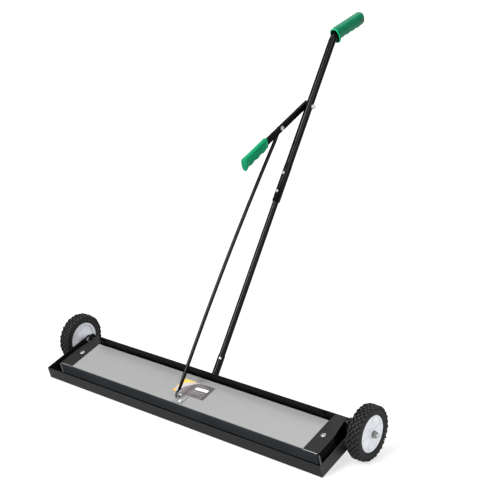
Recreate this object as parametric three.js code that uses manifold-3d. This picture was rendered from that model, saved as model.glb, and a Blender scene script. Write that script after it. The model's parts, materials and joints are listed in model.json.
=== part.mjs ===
// Push-along magnetic nail sweeper with a hand lever that lifts the magnets off the tray floor.
// Millimetres, +Z up, +Y towards the person pushing it, the wheel axle along X.
// Most pieces are placed in the tray's own frame, whose origin is the middle of the wheel axle.
// That frame is tipped nose down until the tray's front edge rests on the floor.

import * as THREE from 'three';
import { mergeVertices } from 'three/addons/utils/BufferGeometryUtils.js';
import Module from 'manifold-3d';

const wasm = await Module();
wasm.setup();

// ---- driving dimensions ----

const gap = 0.3;                 // clearance between pieces that touch
const running = 0.4;             // clearance round a turning pin
const wheelRadius = 76.2;        // 6 inch wheels
const tyreWidth = 37;
const tyreBore = 50.5;
const wheelX = 540;              // middle of each wheel
const wheelSides = 36;
const hubFaceX = 15.8;           // hub's outer face from the wheel's middle

const trayHalf = 510;            // outer face of each end plate
const endThickness = 2;
const sheet = 1.5;
const trayFront = -172;          // outer face of the front wall
const trayBack = -10;            // outer face of the back wall
const trayFloor = -25.2;         // underside
const frontWallTop = 11.4;
const backWallTop = 41;
const notchTop = 4;              // the back wall is cut down where the carrier's arms pass over it
const notchX = 430;

const plateTop = 15.7;           // upper face of the carrier's plate and straps
const plateHalf = 433;
const carrierHalf = 482;
const carrierFront = -140;
const carrierBack = -17;
const carrierHingeY = 3;
const carrierHingeZ = 9;
const hingePinRadius = 3;

const tubeAngle = THREE.MathUtils.degToRad(40.86);   // handle above the tray floor's plane
const tubeRise = -22.1;                              // height of the handle's axis at y = 0
const lowerTubeRadius = 9.4;
const upperTubeRadius = 11.5;
const upperTubeBore = 10;
const swageStep = 0.6;           // the swaged end of the upper tube is this much larger in radius
const socketRadius = 10.6;
const socketBore = 9.7;
const tubeSides = 20;

const leverPivotY = 669;
const leverDrop = THREE.MathUtils.degToRad(6.8);     // lever's droop from the tray's plane
const leverX = -17;                                  // lever and rod lie beside the handle
const leverWidth = 10;
const leverRodArm = 130;                             // pivot to rod bolt, along the lever
const leverRodRise = 3;                              // and above the pivot's own line
const rodRadius = 5.5;
const rodBow = 24.4;                                 // twice the rod's sideways bow
const clevisY = -113.5;
const clevisZ = 29;

const bendY = 848.5;             // where the handle's line meets the grip's
const bendRadius = 60;
const gripDroop = THREE.MathUtils.degToRad(1.3);     // grip's fall towards its end
const gripMouthY = 852;
const gripLength = 150;

const magnetCount = 5;
const magnetLength = 152.4;
const magnetDepth = 101.6;
const magnetThickness = 12.7;

// ---- materials ----

function finish(color, roughness, metalness) {
  return new THREE.MeshStandardMaterial({ color, roughness, metalness });
}

const blackPaint = finish(0x161718, 0.45, 0.4);
const greyPlate = finish(0xb8b8b6, 0.4, 0.7);
const zinc = finish(0xcfd2d4, 0.3, 0.9);
const rubber = finish(0x29292b, 0.85, 0);
const hubPlastic = finish(0xe3e4ea, 0.45, 0);
const greenPlastic = finish(0x1fa574, 0.5, 0);
const ferrite = finish(0x3a3a3c, 0.7, 0.2);
const labelVinyl = finish(0x5a565c, 0.5, 0);
const nylon = finish(0x1c1c1e, 0.6, 0);

// ---- shape helpers ----

function toSolid(geometry) {
  const bare = geometry.clone();
  bare.deleteAttribute('normal');
  bare.deleteAttribute('uv');
  const welded = mergeVertices(bare, 1e-4);
  return new wasm.Manifold(new wasm.Mesh({
    numProp: 3,
    vertProperties: Float32Array.from(welded.attributes.position.array),
    triVerts: Uint32Array.from(welded.index.array),
  }));
}

function toGeometry(solid) {
  const mesh = solid.getMesh();
  const geometry = new THREE.BufferGeometry();
  geometry.setAttribute('position', new THREE.BufferAttribute(mesh.vertProperties, 3));
  geometry.setIndex(new THREE.BufferAttribute(mesh.triVerts, 1));
  geometry.computeVertexNormals();
  return geometry;
}

function join(...geometries) {
  return toGeometry(geometries.map(toSolid).reduce((whole, piece) => whole.add(piece)));
}

function cut(geometry, ...cutters) {
  return toGeometry(cutters.map(toSolid).reduce((whole, tool) => whole.subtract(tool), toSolid(geometry)));
}

function box([x0, x1], [y0, y1], [z0, z1]) {
  const geometry = new THREE.BoxGeometry(x1 - x0, y1 - y0, z1 - z0);
  return geometry.translate((x0 + x1) / 2, (y0 + y1) / 2, (z0 + z1) / 2);
}

// A round or many-sided bar along X, between two X values, on an axis at (y, z).
function barX(radius, [x0, x1], y = 0, z = 0, sides = 16) {
  const geometry = new THREE.CylinderGeometry(radius, radius, x1 - x0, sides);
  return geometry.rotateZ(-Math.PI / 2).translate((x0 + x1) / 2, y, z);
}

// The same along Y, on an axis at (x, z).
function barY(radius, [y0, y1], x = 0, z = 0, sides = 16) {
  return new THREE.CylinderGeometry(radius, radius, y1 - y0, sides).translate(x, (y0 + y1) / 2, z);
}

// The same along Z, on an axis at (x, y).
function barZ(radius, [z0, z1], x = 0, y = 0, sides = 16) {
  const geometry = new THREE.CylinderGeometry(radius, radius, z1 - z0, sides);
  return geometry.rotateX(Math.PI / 2).translate(x, y, (z0 + z1) / 2);
}

// A closed outline in the (y, z) plane, extruded along X.
function extrudeX(outline, [x0, x1]) {
  const shape = outline instanceof THREE.Shape
    ? outline
    : new THREE.Shape(outline.map(([y, z]) => new THREE.Vector2(y, z)));
  const settings = { depth: x1 - x0, bevelEnabled: false, curveSegments: 10 };
  const geometry = new THREE.ExtrudeGeometry(shape, settings);
  const turn = new THREE.Matrix4().makeBasis(
    new THREE.Vector3(0, 1, 0), new THREE.Vector3(0, 0, 1), new THREE.Vector3(1, 0, 0));
  return geometry.applyMatrix4(turn).translate(x0, 0, 0);
}

// A closed outline in the (x, y) plane, extruded along Z.
function extrudeZ(outline, [z0, z1]) {
  const shape = new THREE.Shape(outline.map(([x, y]) => new THREE.Vector2(x, y)));
  return new THREE.ExtrudeGeometry(shape, { depth: z1 - z0, bevelEnabled: false }).translate(0, 0, z0);
}

// A closed (radius, along) profile turned about the X axis.
function turnX(profile, segments) {
  const points = profile.map(([radius, along]) => new THREE.Vector2(radius, along));
  return new THREE.LatheGeometry([...points, points[0]], segments).rotateZ(-Math.PI / 2);
}

// A domed cap on the Y axis, its flat side down at the origin.
function capY(radius, height) {
  const steps = 4;
  const points = [new THREE.Vector2(0, 0), new THREE.Vector2(radius, 0)];
  for (let i = 1; i < steps; i += 1) {
    const angle = (Math.PI / 2) * (i / steps);
    points.push(new THREE.Vector2(radius * Math.cos(angle), height * Math.sin(angle)));
  }
  points.push(new THREE.Vector2(0, height));
  return new THREE.LatheGeometry(points, 16);
}

function mirrorX(geometry) {
  const mirrored = geometry.clone().scale(-1, 1, 1);
  const whole = mirrored.index ? mirrored : mergeVertices(mirrored);
  const corners = whole.index.array;
  for (let i = 0; i < corners.length; i += 3) {
    [corners[i + 1], corners[i + 2]] = [corners[i + 2], corners[i + 1]];
  }
  whole.computeVertexNormals();
  return whole;
}

// A path with one station at each given point, so a straight run costs only one step.
class StationPath extends THREE.Curve {
  constructor(stations) {
    super();
    this.stations = stations;
  }

  getPoint(t, target = new THREE.Vector3()) {
    const place = THREE.MathUtils.clamp(t, 0, 1) * (this.stations.length - 1);
    const index = Math.min(Math.floor(place), this.stations.length - 2);
    return target.lerpVectors(this.stations[index], this.stations[index + 1], place - index);
  }

  getUtoTmapping(u) {
    return u;
  }
}

function ringShape(radius, bore) {
  const shape = new THREE.Shape().absarc(0, 0, radius, 0, 2 * Math.PI, false);
  if (bore > 0) shape.holes.push(new THREE.Path().absarc(0, 0, bore, 0, 2 * Math.PI, true));
  return shape;
}

function tube(stations, radius, bore, sides = tubeSides) {
  return new THREE.ExtrudeGeometry(ringShape(radius, bore), {
    extrudePath: new StationPath(stations), steps: stations.length - 1,
    bevelEnabled: false, curveSegments: sides / 2,
  });
}

// A skin through rings of points, all with the same count, closed at both ends.
function loft(rings) {
  const count = rings[0].length;
  const points = rings.flat();
  const corners = [];
  for (let ring = 0; ring < rings.length - 1; ring += 1) {
    for (let i = 0; i < count; i += 1) {
      const a = ring * count + i;
      const b = ring * count + ((i + 1) % count);
      corners.push(a, b, b + count, a, b + count, a + count);
    }
  }
  for (const [ring, flip] of [[0, true], [rings.length - 1, false]]) {
    const centre = rings[ring].reduce((sum, p) => sum.add(p), new THREE.Vector3());
    const hub = points.push(centre.divideScalar(count)) - 1;
    for (let i = 0; i < count; i += 1) {
      const a = ring * count + i;
      const b = ring * count + ((i + 1) % count);
      corners.push(...(flip ? [b, a, hub] : [a, b, hub]));
    }
  }
  let volume = 0;
  for (let i = 0; i < corners.length; i += 3) {
    const [a, b, c] = corners.slice(i, i + 3).map((corner) => points[corner]);
    volume += a.dot(b.clone().cross(c));
  }
  if (volume < 0) corners.reverse();
  const geometry = new THREE.BufferGeometry().setFromPoints(points);
  geometry.setIndex(corners);
  geometry.computeVertexNormals();
  return geometry;
}

// A rounded oval ring across Y: half width, then half heights above and below its centre.
// A lean moves its lower edge back along Y.
function ovalRing(y, halfWidth, top, bottom, centre = 0, lean = 0) {
  const count = 20;
  const squareness = 0.85;
  const ring = [];
  for (let i = 0; i < count; i += 1) {
    const angle = (2 * Math.PI * i) / count;
    const across = Math.sign(Math.cos(angle)) * Math.abs(Math.cos(angle)) ** squareness;
    const up = Math.sign(Math.sin(angle)) * Math.abs(Math.sin(angle)) ** squareness;
    const rise = (up > 0 ? top : bottom) * up;
    ring.push(new THREE.Vector3(halfWidth * across, y - lean * rise, centre + rise));
  }
  return ring;
}

function add(group, name, geometry, material) {
  const mesh = new THREE.Mesh(geometry, material);
  mesh.name = name;
  group.add(mesh);
  return mesh;
}

// Adds a piece drawn on the +X side, and its mirror image on the -X side.
function addPair(group, name, geometry, material) {
  add(group, `${name}_right`, geometry, material);
  add(group, `${name}_left`, mirrorX(geometry), material);
}

// ---- tray ----

function trayPan() {
  const inner = trayHalf - endThickness - gap;
  const profile = extrudeX([
    [trayFront, frontWallTop], [trayFront, trayFloor], [trayBack, trayFloor], [trayBack, backWallTop],
    [trayBack - sheet, backWallTop], [trayBack - sheet, trayFloor + sheet],
    [trayFront + sheet, trayFloor + sheet], [trayFront + sheet, frontWallTop],
  ], [-inner, inner]);
  const wall = [trayBack - 2 * sheet, trayBack + sheet];
  const cutters = [];
  for (const side of [-1, 1]) {
    const ends = [side * notchX, side * (inner + 1)].sort((a, b) => a - b);
    cutters.push(box(ends, wall, [notchTop, backWallTop + 1]));
    cutters.push(barY(3 + gap, wall, side * hingeBoltX, hingeBoltZ));
  }
  return cut(profile, ...cutters);
}

// End wall with a rounded ear that carries the axle bolt.
function endPlate() {
  const earRadius = 19;
  const earY = 4;
  const earZ = trayFloor + earRadius;
  const lift = Math.asin((frontWallTop - earZ) / earRadius);
  const outline = new THREE.Shape();
  outline.moveTo(trayFront, trayFloor);
  outline.lineTo(earY, trayFloor);
  outline.absarc(earY, earZ, earRadius, -Math.PI / 2, Math.PI - lift, false);
  outline.lineTo(trayFront, frontWallTop);
  const plate = extrudeX(outline, [trayHalf - endThickness, trayHalf]);
  return cut(plate, barX(axleRadius + gap, [trayHalf - 5, trayHalf + 5]));
}

const hingeBoltX = 414;
const hingeBoltZ = 29;
const bracketStart = 398;
const bracketThickness = 2.8;
const bracketFace = trayBack + gap;
const bracketBack = 18.3;        // outer face of the bracket's rear upright
const bracketBackTop = 11.2;
const lugX = 485;                // inner face of the lug that carries the hinge pin
const armTail = 473;             // outer face of the carrier arm beside the lug

// Rounded lug that closes the outer end of the bracket and carries the hinge pin.
function hingeLug(span) {
  const lugRadius = 14;
  const lugZ = carrierHingeZ + 2;
  const lug = new THREE.Shape();
  lug.moveTo(bracketFace, trayFloor + 3);
  lug.lineTo(bracketBack, trayFloor + 3);
  lug.lineTo(bracketBack, 0);
  lug.lineTo(carrierHingeY + lugRadius, lugZ);
  lug.absarc(carrierHingeY, lugZ, lugRadius, 0, Math.PI * 0.85, false);
  lug.lineTo(bracketFace, lugZ - 6);
  return extrudeX(lug, span);
}

// Channel bracket on the back of the tray: a stepped flange, a floor, a rear upright and the lug.
// It leaves the space the carrier arm's tail swings in.
function hingeBracket() {
  const foot = trayFloor + 3;
  const outer = lugX + bracketThickness;
  const wide = [bracketStart, outer];
  const flangeDepth = [bracketFace, bracketFace + bracketThickness];
  const nutDepth = [flangeDepth[1] - 0.5, flangeDepth[1] + 2.7];
  return cut(
    join(
      box(wide, flangeDepth, [foot, 0]),
      box([bracketStart, notchX], flangeDepth, [-1, backWallTop - 4]),
      box(wide, [bracketFace, bracketBack], [foot, foot + bracketThickness]),
      box(wide, [bracketBack - bracketThickness, bracketBack], [foot, bracketBackTop]),
      hingeLug([lugX, outer]),
      barY(5.5, nutDepth, hingeBoltX, hingeBoltZ, 6),
    ),
    barY(3 + gap, [bracketFace - 1, nutDepth[1] + 1], hingeBoltX, hingeBoltZ),
    barX(hingePinRadius + gap, [lugX - 1, outer + 1], carrierHingeY, carrierHingeZ),
  );
}

function hingeBolt() {
  const wallFace = trayBack - sheet - gap;
  return join(
    barY(6.5, [wallFace - 4, wallFace], hingeBoltX, hingeBoltZ, 6),
    barY(3, [wallFace - 1, trayBack + 7], hingeBoltX, hingeBoltZ),
  );
}

// Shoulder bolt through the lug and the arm's tab: its nut outside the lug, its end riveted over.
function hingePin() {
  const outer = lugX + bracketThickness;
  return join(
    barX(6, [outer + gap, outer + 4], carrierHingeY, carrierHingeZ, 6),
    barX(hingePinRadius, [armTail - 5, outer + 1], carrierHingeY, carrierHingeZ),
    barX(5, [armTail + gap, lugX - gap], carrierHingeY, carrierHingeZ),
    barX(4, [armTail - 4.5, armTail - 2.3], carrierHingeY, carrierHingeZ),
  );
}

// ---- wheels and axle bolts, drawn for the +X side ----

const axleRadius = 5;
const axleSeat = trayHalf - endThickness - gap;      // the bolt's head bears on the end plate here
const axleNutX = wheelX + hubFaceX + 5.2;
const axleNutThickness = 8;

// Bolt put in from inside the tray, its threaded end a little proud of the nut outside the wheel.
function axleBolt() {
  return join(
    barX(8, [axleSeat - 6, axleSeat], 0, 0, 6),
    barX(axleRadius, [axleSeat - 1, axleNutX + axleNutThickness + 5]),
  );
}

function plainRing(radius, bore, [x0, x1], sides = 20) {
  return cut(barX(radius, [x0, x1], 0, 0, sides), barX(bore, [x0 - 1, x1 + 1]));
}

function tyre() {
  const half = tyreWidth / 2;
  const profile = [
    [tyreBore, -half + 4], [tyreBore + 3, -half + 1], [63, -half], [71, -half + 0.8],
    [wheelRadius, -half + 5], [wheelRadius, half - 5],
    [71, half - 0.8], [63, half], [tyreBore + 3, half - 1], [tyreBore, half - 4],
  ];
  return turnX(profile, wheelSides).translate(wheelX, 0, 0);
}

function hub() {
  const rim = tyreBore - gap;
  const profile = [
    [bushRadius + gap, -15], [12, -15], [12.5, -1], [43, -4], [45.5, -14], [rim, -14.5],
    [rim, hubFaceX - 1], [rim - 1.5, hubFaceX], [47, hubFaceX - 0.3], [44, hubFaceX - 5.5],
    [16, hubFaceX - 4], [13, hubFaceX + 2.3], [bushRadius + gap, hubFaceX + 2.3],
  ];
  return turnX(profile, wheelSides).translate(wheelX, 0, 0);
}

const bushRadius = 7;

function bush() {
  return plainRing(bushRadius, axleRadius + running, [wheelX - 15.4, wheelX + hubFaceX + 2.5]);
}

// ---- magnet carrier ----

const webTop = plateTop - 2 - gap;
const skirtBottom = -20;

function carrierChannel() {
  const flange = carrierFront + sheet;
  const back = carrierBack - sheet;
  const section = extrudeX([
    [carrierFront, plateTop], [carrierFront, skirtBottom], [flange, skirtBottom], [flange, webTop - sheet],
    [back, webTop - sheet], [back, skirtBottom], [carrierBack, skirtBottom], [carrierBack, webTop],
    [flange, webTop], [flange, plateTop],
  ], [-carrierHalf + 3, carrierHalf - 3]);
  const corners = [-1, 1].map((side) => {
    const span = [side * (plateHalf + 0.5), side * carrierHalf].sort((a, b) => a - b);
    return box(span, [-60, 0], [-30, 30]);
  });
  const holes = [-1, 1].map((side) => barZ(2.5 + gap, [0, 20], side * strapScrewX, strapScrewY));
  return cut(section, ...corners, ...holes, clevisBoltHole());
}

const strapScrewX = 453;
const strapScrewY = -72;

// Strap, end skirt and hinge tab in one bent plate.
function carrierArm() {
  const thickness = 2;
  const underside = plateTop - thickness;
  const inside = plateHalf + 1;
  const tail = carrierHingeY + 9;
  const front = carrierFront + sheet + gap;
  const strap = extrudeZ([
    [inside, front], [carrierHalf, front], [carrierHalf, -66], [armTail, -8], [armTail, tail], [inside, tail],
  ], [underside, plateTop]);
  const skirt = box([carrierHalf - sheet, carrierHalf], [front, -67], [skirtBottom, underside + 0.5]);
  const lip = box([carrierHalf - 1, carrierHalf + 6], [front - sheet, front], [skirtBottom, plateTop - 3]);
  const tab = box([armTail - thickness, armTail], [carrierHingeY - 6.5, tail], [1, underside + 0.5]);
  return cut(
    join(strap, skirt, lip, tab),
    barZ(2.5 + gap, [underside - 1, plateTop + 1], strapScrewX, strapScrewY),
    barX(hingePinRadius + running, [armTail - 4, armTail + 1], carrierHingeY, carrierHingeZ),
  );
}

// Round-headed screw that holds an arm to the channel's web.
function strapScrew() {
  const seat = plateTop + gap;
  const headRadius = 8.5;
  const cap = capY(headRadius, 3).rotateX(Math.PI / 2).translate(strapScrewX, strapScrewY, seat + 1);
  return join(
    barZ(headRadius, [seat, seat + 1.2], strapScrewX, strapScrewY),
    cap,
    barZ(2.5, [seat - 10, seat + 1], strapScrewX, strapScrewY),
  );
}

function topPlate() {
  const span = [carrierFront + sheet + gap, carrierBack - 0.2];
  const plate = box([-plateHalf, plateHalf], span, [plateTop - 2, plateTop]);
  return cut(plate, clevisBoltHole());
}

// Folded steel channel that hangs the magnets below the carrier's web.
function magnetYoke() {
  const base = magnetTop + gap;
  const roof = webTop - sheet - gap;
  const front = carrierFront + 7;
  const back = carrierBack - 9;
  const plate = 2;
  return extrudeX([
    [front, roof], [front, base], [back, base], [back, roof],
    [back - plate, roof], [back - plate, base + plate],
    [front + plate, base + plate], [front + plate, roof],
  ], [-plateHalf + 8, plateHalf - 8]);
}

const magnetBottom = trayFloor + sheet + 1.2;
const magnetTop = magnetBottom + magnetThickness;

function magnetBlock(index) {
  const pitch = (2 * plateHalf - 30 - magnetLength) / (magnetCount - 1);
  const x = (index - (magnetCount - 1) / 2) * pitch;
  const y = (carrierFront + carrierBack) / 2 - 1;
  return box(
    [x - magnetLength / 2, x + magnetLength / 2],
    [y - magnetDepth / 2, y + magnetDepth / 2],
    [magnetBottom, magnetTop],
  );
}

// ---- lift linkage at the carrier ----

const clevisBoltX = 0;
const clevisBoltY = -127;
const clevisBase = plateTop + gap;
const clevisInside = 4;          // half the space between the ears
const clevisPlate = 2;

function clevisBoltHole() {
  return barZ(3 + gap, [0, 20], clevisBoltX, clevisBoltY);
}

function clevisBracket() {
  const ears = [-1, 1].map((side) => {
    const inside = leverX + side * clevisInside;
    const span = [inside, inside + side * clevisPlate].sort((a, b) => a - b);
    const ear = new THREE.Shape();
    ear.moveTo(clevisY - 9, clevisBase);
    ear.lineTo(clevisY + 9, clevisBase);
    ear.lineTo(clevisY + 7, clevisZ);
    ear.absarc(clevisY, clevisZ, 7, 0, Math.PI, false);
    return extrudeX(ear, span);
  });
  const base = box(
    [leverX - 9, clevisBoltX + 9], [clevisBoltY - 9, clevisY + 11], [clevisBase, clevisBase + clevisPlate]);
  return cut(
    join(base, ...ears),
    barX(3 + gap, [leverX - 10, leverX + 10], clevisY, clevisZ),
    barZ(3 + gap, [clevisBase - 1, clevisBase + 5], clevisBoltX, clevisBoltY),
  );
}

function clevisBolt() {
  const seat = clevisBase + clevisPlate + gap;
  return join(
    barZ(6, [seat, seat + 4], clevisBoltX, clevisBoltY, 6),
    barZ(3, [webTop - 8, seat + 1], clevisBoltX, clevisBoltY),
  );
}

const clipX = leverX + 10;
const clipWire = 0.8;

function clevisPin() {
  const face = clevisInside + clevisPlate + gap;
  const pin = join(
    barX(5, [leverX - face - 2.5, leverX - face], clevisY, clevisZ),
    barX(3, [leverX - face - 1, clipX + 4], clevisY, clevisZ),
  );
  return cut(pin, barZ(clipWire + running, [clevisZ - 6, clevisZ + 6], clipX, clevisY));
}

// Wire hairpin: one straight leg through the pin, one sprung leg round the outside of it.
function hairpinClip() {
  const legs = [
    [0, -6], [0, 8], [0.8, 10.6], [2.9, 12], [5, 10.8], [5.8, 8], [4.6, 4], [4.4, 0], [5.2, -3], [7.4, -5],
  ].map(([y, z]) => new THREE.Vector3(clipX, clevisY + y, clevisZ + z));
  return tube(legs, clipWire, 0, 8);
}

// ---- handle ----

const tubeSlope = Math.tan(tubeAngle);

// A point on the handle's axis, by its distance back from the axle.
function onHandle(y) {
  return new THREE.Vector3(0, y, tubeRise + tubeSlope * y);
}

const cheekInside = socketRadius + 0.4;
const cheekThickness = 3;

// Flat base welded to the back wall, with two cheeks that hold the socket tube.
function handleBracket() {
  const face = trayBack + gap;
  const foot = trayFloor + 4;
  const base = box([-36, 36], [face, face + 3], [foot, backWallTop - 6]);
  const cheeks = [-1, 1].map((side) => {
    const span = [side * cheekInside, side * (cheekInside + cheekThickness)].sort((a, b) => a - b);
    return extrudeX([
      [face + 2, foot], [24, foot], [30, -10], [27, 0], [20, 8], [face + 2, 14],
    ], span);
  });
  const pin = onHandle(socketPinY);
  return cut(
    join(base, ...cheeks),
    barX(3 + gap, [-20, 20], pin.y, pin.z),
  );
}

const socketStartY = 12;
const socketEndY = 71;
const socketPinY = 22;
const lowerTubeStartY = 38;
const lowerJointY = 63;
const lowerJointTurn = THREE.MathUtils.degToRad(25);
const upperTubeStartY = 435;
const swageEndY = 526;
const lowerTubeEndY = 518;
const upperJointY = [458, 502];

function socketPin() {
  const pin = onHandle(socketPinY);
  const face = cheekInside + cheekThickness + gap;
  return join(
    barX(3, [-face - 2, face + 2], pin.y, pin.z),
    barX(5.5, [-face - 3.5, -face], pin.y, pin.z),
    barX(5.5, [face, face + 2.5], pin.y, pin.z),
  );
}

function socketTube() {
  const shell = tube([onHandle(socketStartY), onHandle(socketEndY)], socketRadius, socketBore);
  const pin = onHandle(socketPinY);
  return cut(shell, barX(3 + gap, [-20, 20], pin.y, pin.z), crossHole(lowerJointY, lowerJointTurn));
}

// A bar square to the handle, its first end to the front, turned about the handle's axis.
function crossBar(y, radius, [from, to], turn = 0, sides = 16) {
  const bar = new THREE.CylinderGeometry(radius, radius, to - from, sides);
  bar.translate(0, -(from + to) / 2, 0).rotateX(Math.PI / 2).rotateY(turn).rotateX(tubeAngle);
  const place = onHandle(y);
  return bar.translate(place.x, place.y, place.z);
}

function crossHole(y, turn = 0) {
  return crossBar(y, jointBoltRadius + gap, [-20, 20], turn);
}

const jointBoltRadius = 2.5;

// Bolt square through the handle, head to the front and nut run up behind.
function jointBolt(y, tubeRadius, turn = 0) {
  const face = tubeRadius + gap;
  return join(
    crossBar(y, 4.6, [-face - 3, -face], turn),
    crossBar(y, jointBoltRadius, [-face - 1, face + 6], turn),
    crossBar(y, 5, [face, face + 4], turn, 6),
  );
}

function lowerTube() {
  const wall = 1.3;
  const ends = [onHandle(lowerTubeStartY), onHandle(lowerTubeEndY)];
  const shell = tube(ends, lowerTubeRadius, lowerTubeRadius - wall);
  const upperHoles = upperJointY.map((y) => crossHole(y));
  return cut(shell, crossHole(lowerJointY, lowerJointTurn), ...upperHoles);
}

// A point on the grip's axis, by its distance back from the axle.
function onGrip(y) {
  return new THREE.Vector3(0, y, onHandle(bendY).z - Math.tan(gripDroop) * (y - bendY));
}

// Bend from the handle's line to the grip's, tangent to both.
function bendStations(count) {
  const turn = tubeAngle + gripDroop;
  const reach = bendRadius * Math.tan(turn / 2);
  const spoke = (angle) => new THREE.Vector3(0, -Math.sin(angle), Math.cos(angle));
  const last = onGrip(bendY + reach * Math.cos(gripDroop));
  const centre = last.addScaledVector(spoke(-gripDroop), -bendRadius);
  return Array.from({ length: count + 1 }, (_, i) => (
    centre.clone().addScaledVector(spoke(tubeAngle - turn * (i / count)), bendRadius)));
}

function upperTube() {
  const end = onGrip(gripMouthY + gripLength - 26);
  const run = tube([onHandle(upperTubeStartY), ...bendStations(7), end], upperTubeRadius, upperTubeBore);
  const swageEnds = [onHandle(upperTubeStartY), onHandle(swageEndY)];
  const swage = tube(swageEnds, upperTubeRadius + swageStep, upperTubeRadius - swageStep);
  const pivot = onHandle(leverPivotY);
  const boltHoles = upperJointY.map((y) => crossHole(y));
  return cut(join(run, swage), ...boltHoles, barX(3 + gap, [-20, 20], pivot.y, pivot.z));
}

// Hollow grip: from the bottom of its blind bore, out to the leaning mouth and back outside.
function mainGrip() {
  const bore = upperTubeRadius + gap;
  const lean = 0.2;
  const drop = -4.7;
  const rings = [
    ovalRing(gripLength - 20, bore, bore, bore), ovalRing(34, bore, bore, bore),
    ovalRing(16, 13.4, 16.5, 16.5), ovalRing(0, 14, 20.6, 20.6, drop, lean),
    ovalRing(0, 16.7, 24, 24, drop, lean), ovalRing(4, 16.9, 24.2, 24.2, drop, lean),
    ovalRing(11, 15.8, 21.6, 21, drop / 4, lean / 2),
  ];
  const waves = 4;
  const steps = 16;
  for (let i = 1; i <= steps; i += 1) {
    const along = i / steps;
    const finger = 1 - Math.cos(2 * Math.PI * waves * along);
    rings.push(ovalRing(13 + along * (gripLength - 34), 15.7, 21.6 + 0.6 * along, 18.2 + finger + along));
  }
  rings.push(ovalRing(gripLength - 12, 15.7, 22, 19.4));
  rings.push(ovalRing(gripLength - 4, 13.8, 19.2, 17.4));
  rings.push(ovalRing(gripLength, 7.5, 11, 10.4));
  return loft(rings).rotateX(-gripDroop).translate(0, gripMouthY, onGrip(gripMouthY).z);
}

// ---- release lever, in its own frame: pivot at the origin, grip towards -Y ----

const leverTop = 10;
const leverBottom = -7;
const leverGripStart = -207;
const leverGripEnd = -320;

function leverBar() {
  const half = leverWidth / 2;
  const wall = 1.5;
  const end = leverGripEnd + 22;
  const outer = box([leverX - half, leverX + half], [end, 15], [leverBottom, leverTop]);
  const hollow = box(
    [leverX - half + wall, leverX + half - wall], [end - 1, 16], [leverBottom - 1, leverTop - wall]);
  return cut(
    outer, hollow,
    barX(3 + running, [leverX - 10, leverX + 10], 0, 0),
    barX(3 + gap, [leverX - 10, leverX + 10], -leverRodArm, leverRodRise),
  );
}

// Sleeve with three finger waves below and a thick rolled end.
function leverGrip() {
  const lean = -0.2;
  const rings = [
    ovalRing(leverGripStart, 8.8, 15.2, 15, 1, lean),
    ovalRing(leverGripStart - 3, 9.8, 16.2, 16, 1, lean),
  ];
  const steps = 12;
  const fingers = 3;
  for (let i = 1; i <= steps; i += 1) {
    const along = i / steps;
    const finger = 1.6 * (1 - Math.cos(2 * Math.PI * fingers * along));
    const y = leverGripStart - 5 - along * (leverGripStart - leverGripEnd - 20);
    rings.push(ovalRing(y, 10, 16.2, 15.6 + finger + along, 1, lean));
  }
  rings.push(ovalRing(leverGripEnd + 8, 10.6, 17, 19, 0.6, lean));
  rings.push(ovalRing(leverGripEnd + 4, 11, 17.6, 21, 0, lean));
  rings.push(ovalRing(leverGripEnd, 9, 15.4, 18.6, -0.2, lean));
  const half = leverWidth / 2 + gap;
  const slot = box(
    [-half, half], [leverGripEnd + 21, leverGripStart + 5], [leverBottom - gap, leverTop + gap]);
  return cut(loft(rings), slot).translate(leverX, 0, 0);
}

function rodBolt() {
  const near = leverX + leverWidth / 2 + gap;
  const far = leverX - leverWidth / 2 - gap;
  return join(
    barX(7.3, [near, near + 4], -leverRodArm, leverRodRise, 6),
    barX(3, [far - 6, near + 1], -leverRodArm, leverRodRise),
  );
}

function rodNut() {
  const far = leverX - leverWidth / 2 - gap;
  return cut(
    barX(7, [far - 4.5, far], -leverRodArm, leverRodRise, 6),
    barX(3 + gap, [far - 6, far + 1], -leverRodArm, leverRodRise),
  );
}

// Bolt through the lever and the handle, with a domed nut run up on the far side.
function pivotBolt() {
  const far = leverX - leverWidth / 2 - gap;
  const face = upperTubeRadius + gap;
  const nutDepth = 5.5;
  return join(
    barX(7, [far - 4, far], 0, 0, 6),
    barX(3, [far - 1, face + 1], 0, 0),
    barX(7.5, [face, face + nutDepth], 0, 0, 6),
    capY(6, 5.5).rotateZ(-Math.PI / 2).translate(face + nutDepth - 0.5, 0, 0),
  );
}

// ---- lift rod, from the clevis pin up to the lever ----

const leverPivot = onHandle(leverPivotY);
const rodTop = new THREE.Vector2(-leverRodArm, leverRodRise)
  .rotateAround(new THREE.Vector2(), leverDrop)
  .add(new THREE.Vector2(leverPivot.y, leverPivot.z));
const rodFoot = new THREE.Vector2(clevisY, clevisZ);
const rodLine = rodTop.clone().sub(rodFoot);
const rodLength = rodLine.length();
const rodDirection = rodLine.clone().normalize();
const rodNormal = new THREE.Vector2(-rodDirection.y, rodDirection.x);

function rodRing(distance, halfThickness, halfWidth) {
  const t = distance / rodLength;
  const bow = 2 * rodBow * t * (1 - t);
  const tilt = Math.atan((2 * rodBow * (1 - 2 * t)) / rodLength);
  const centre = rodFoot.clone().addScaledVector(rodDirection, distance).addScaledVector(rodNormal, bow);
  const side = rodNormal.clone().rotateAround(new THREE.Vector2(), tilt);
  const count = 12;
  return Array.from({ length: count }, (_, i) => {
    const angle = (2 * Math.PI * i) / count;
    const across = halfWidth * Math.sin(angle);
    return new THREE.Vector3(
      leverX + halfThickness * Math.cos(angle), centre.x + side.x * across, centre.y + side.y * across);
  });
}

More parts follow.
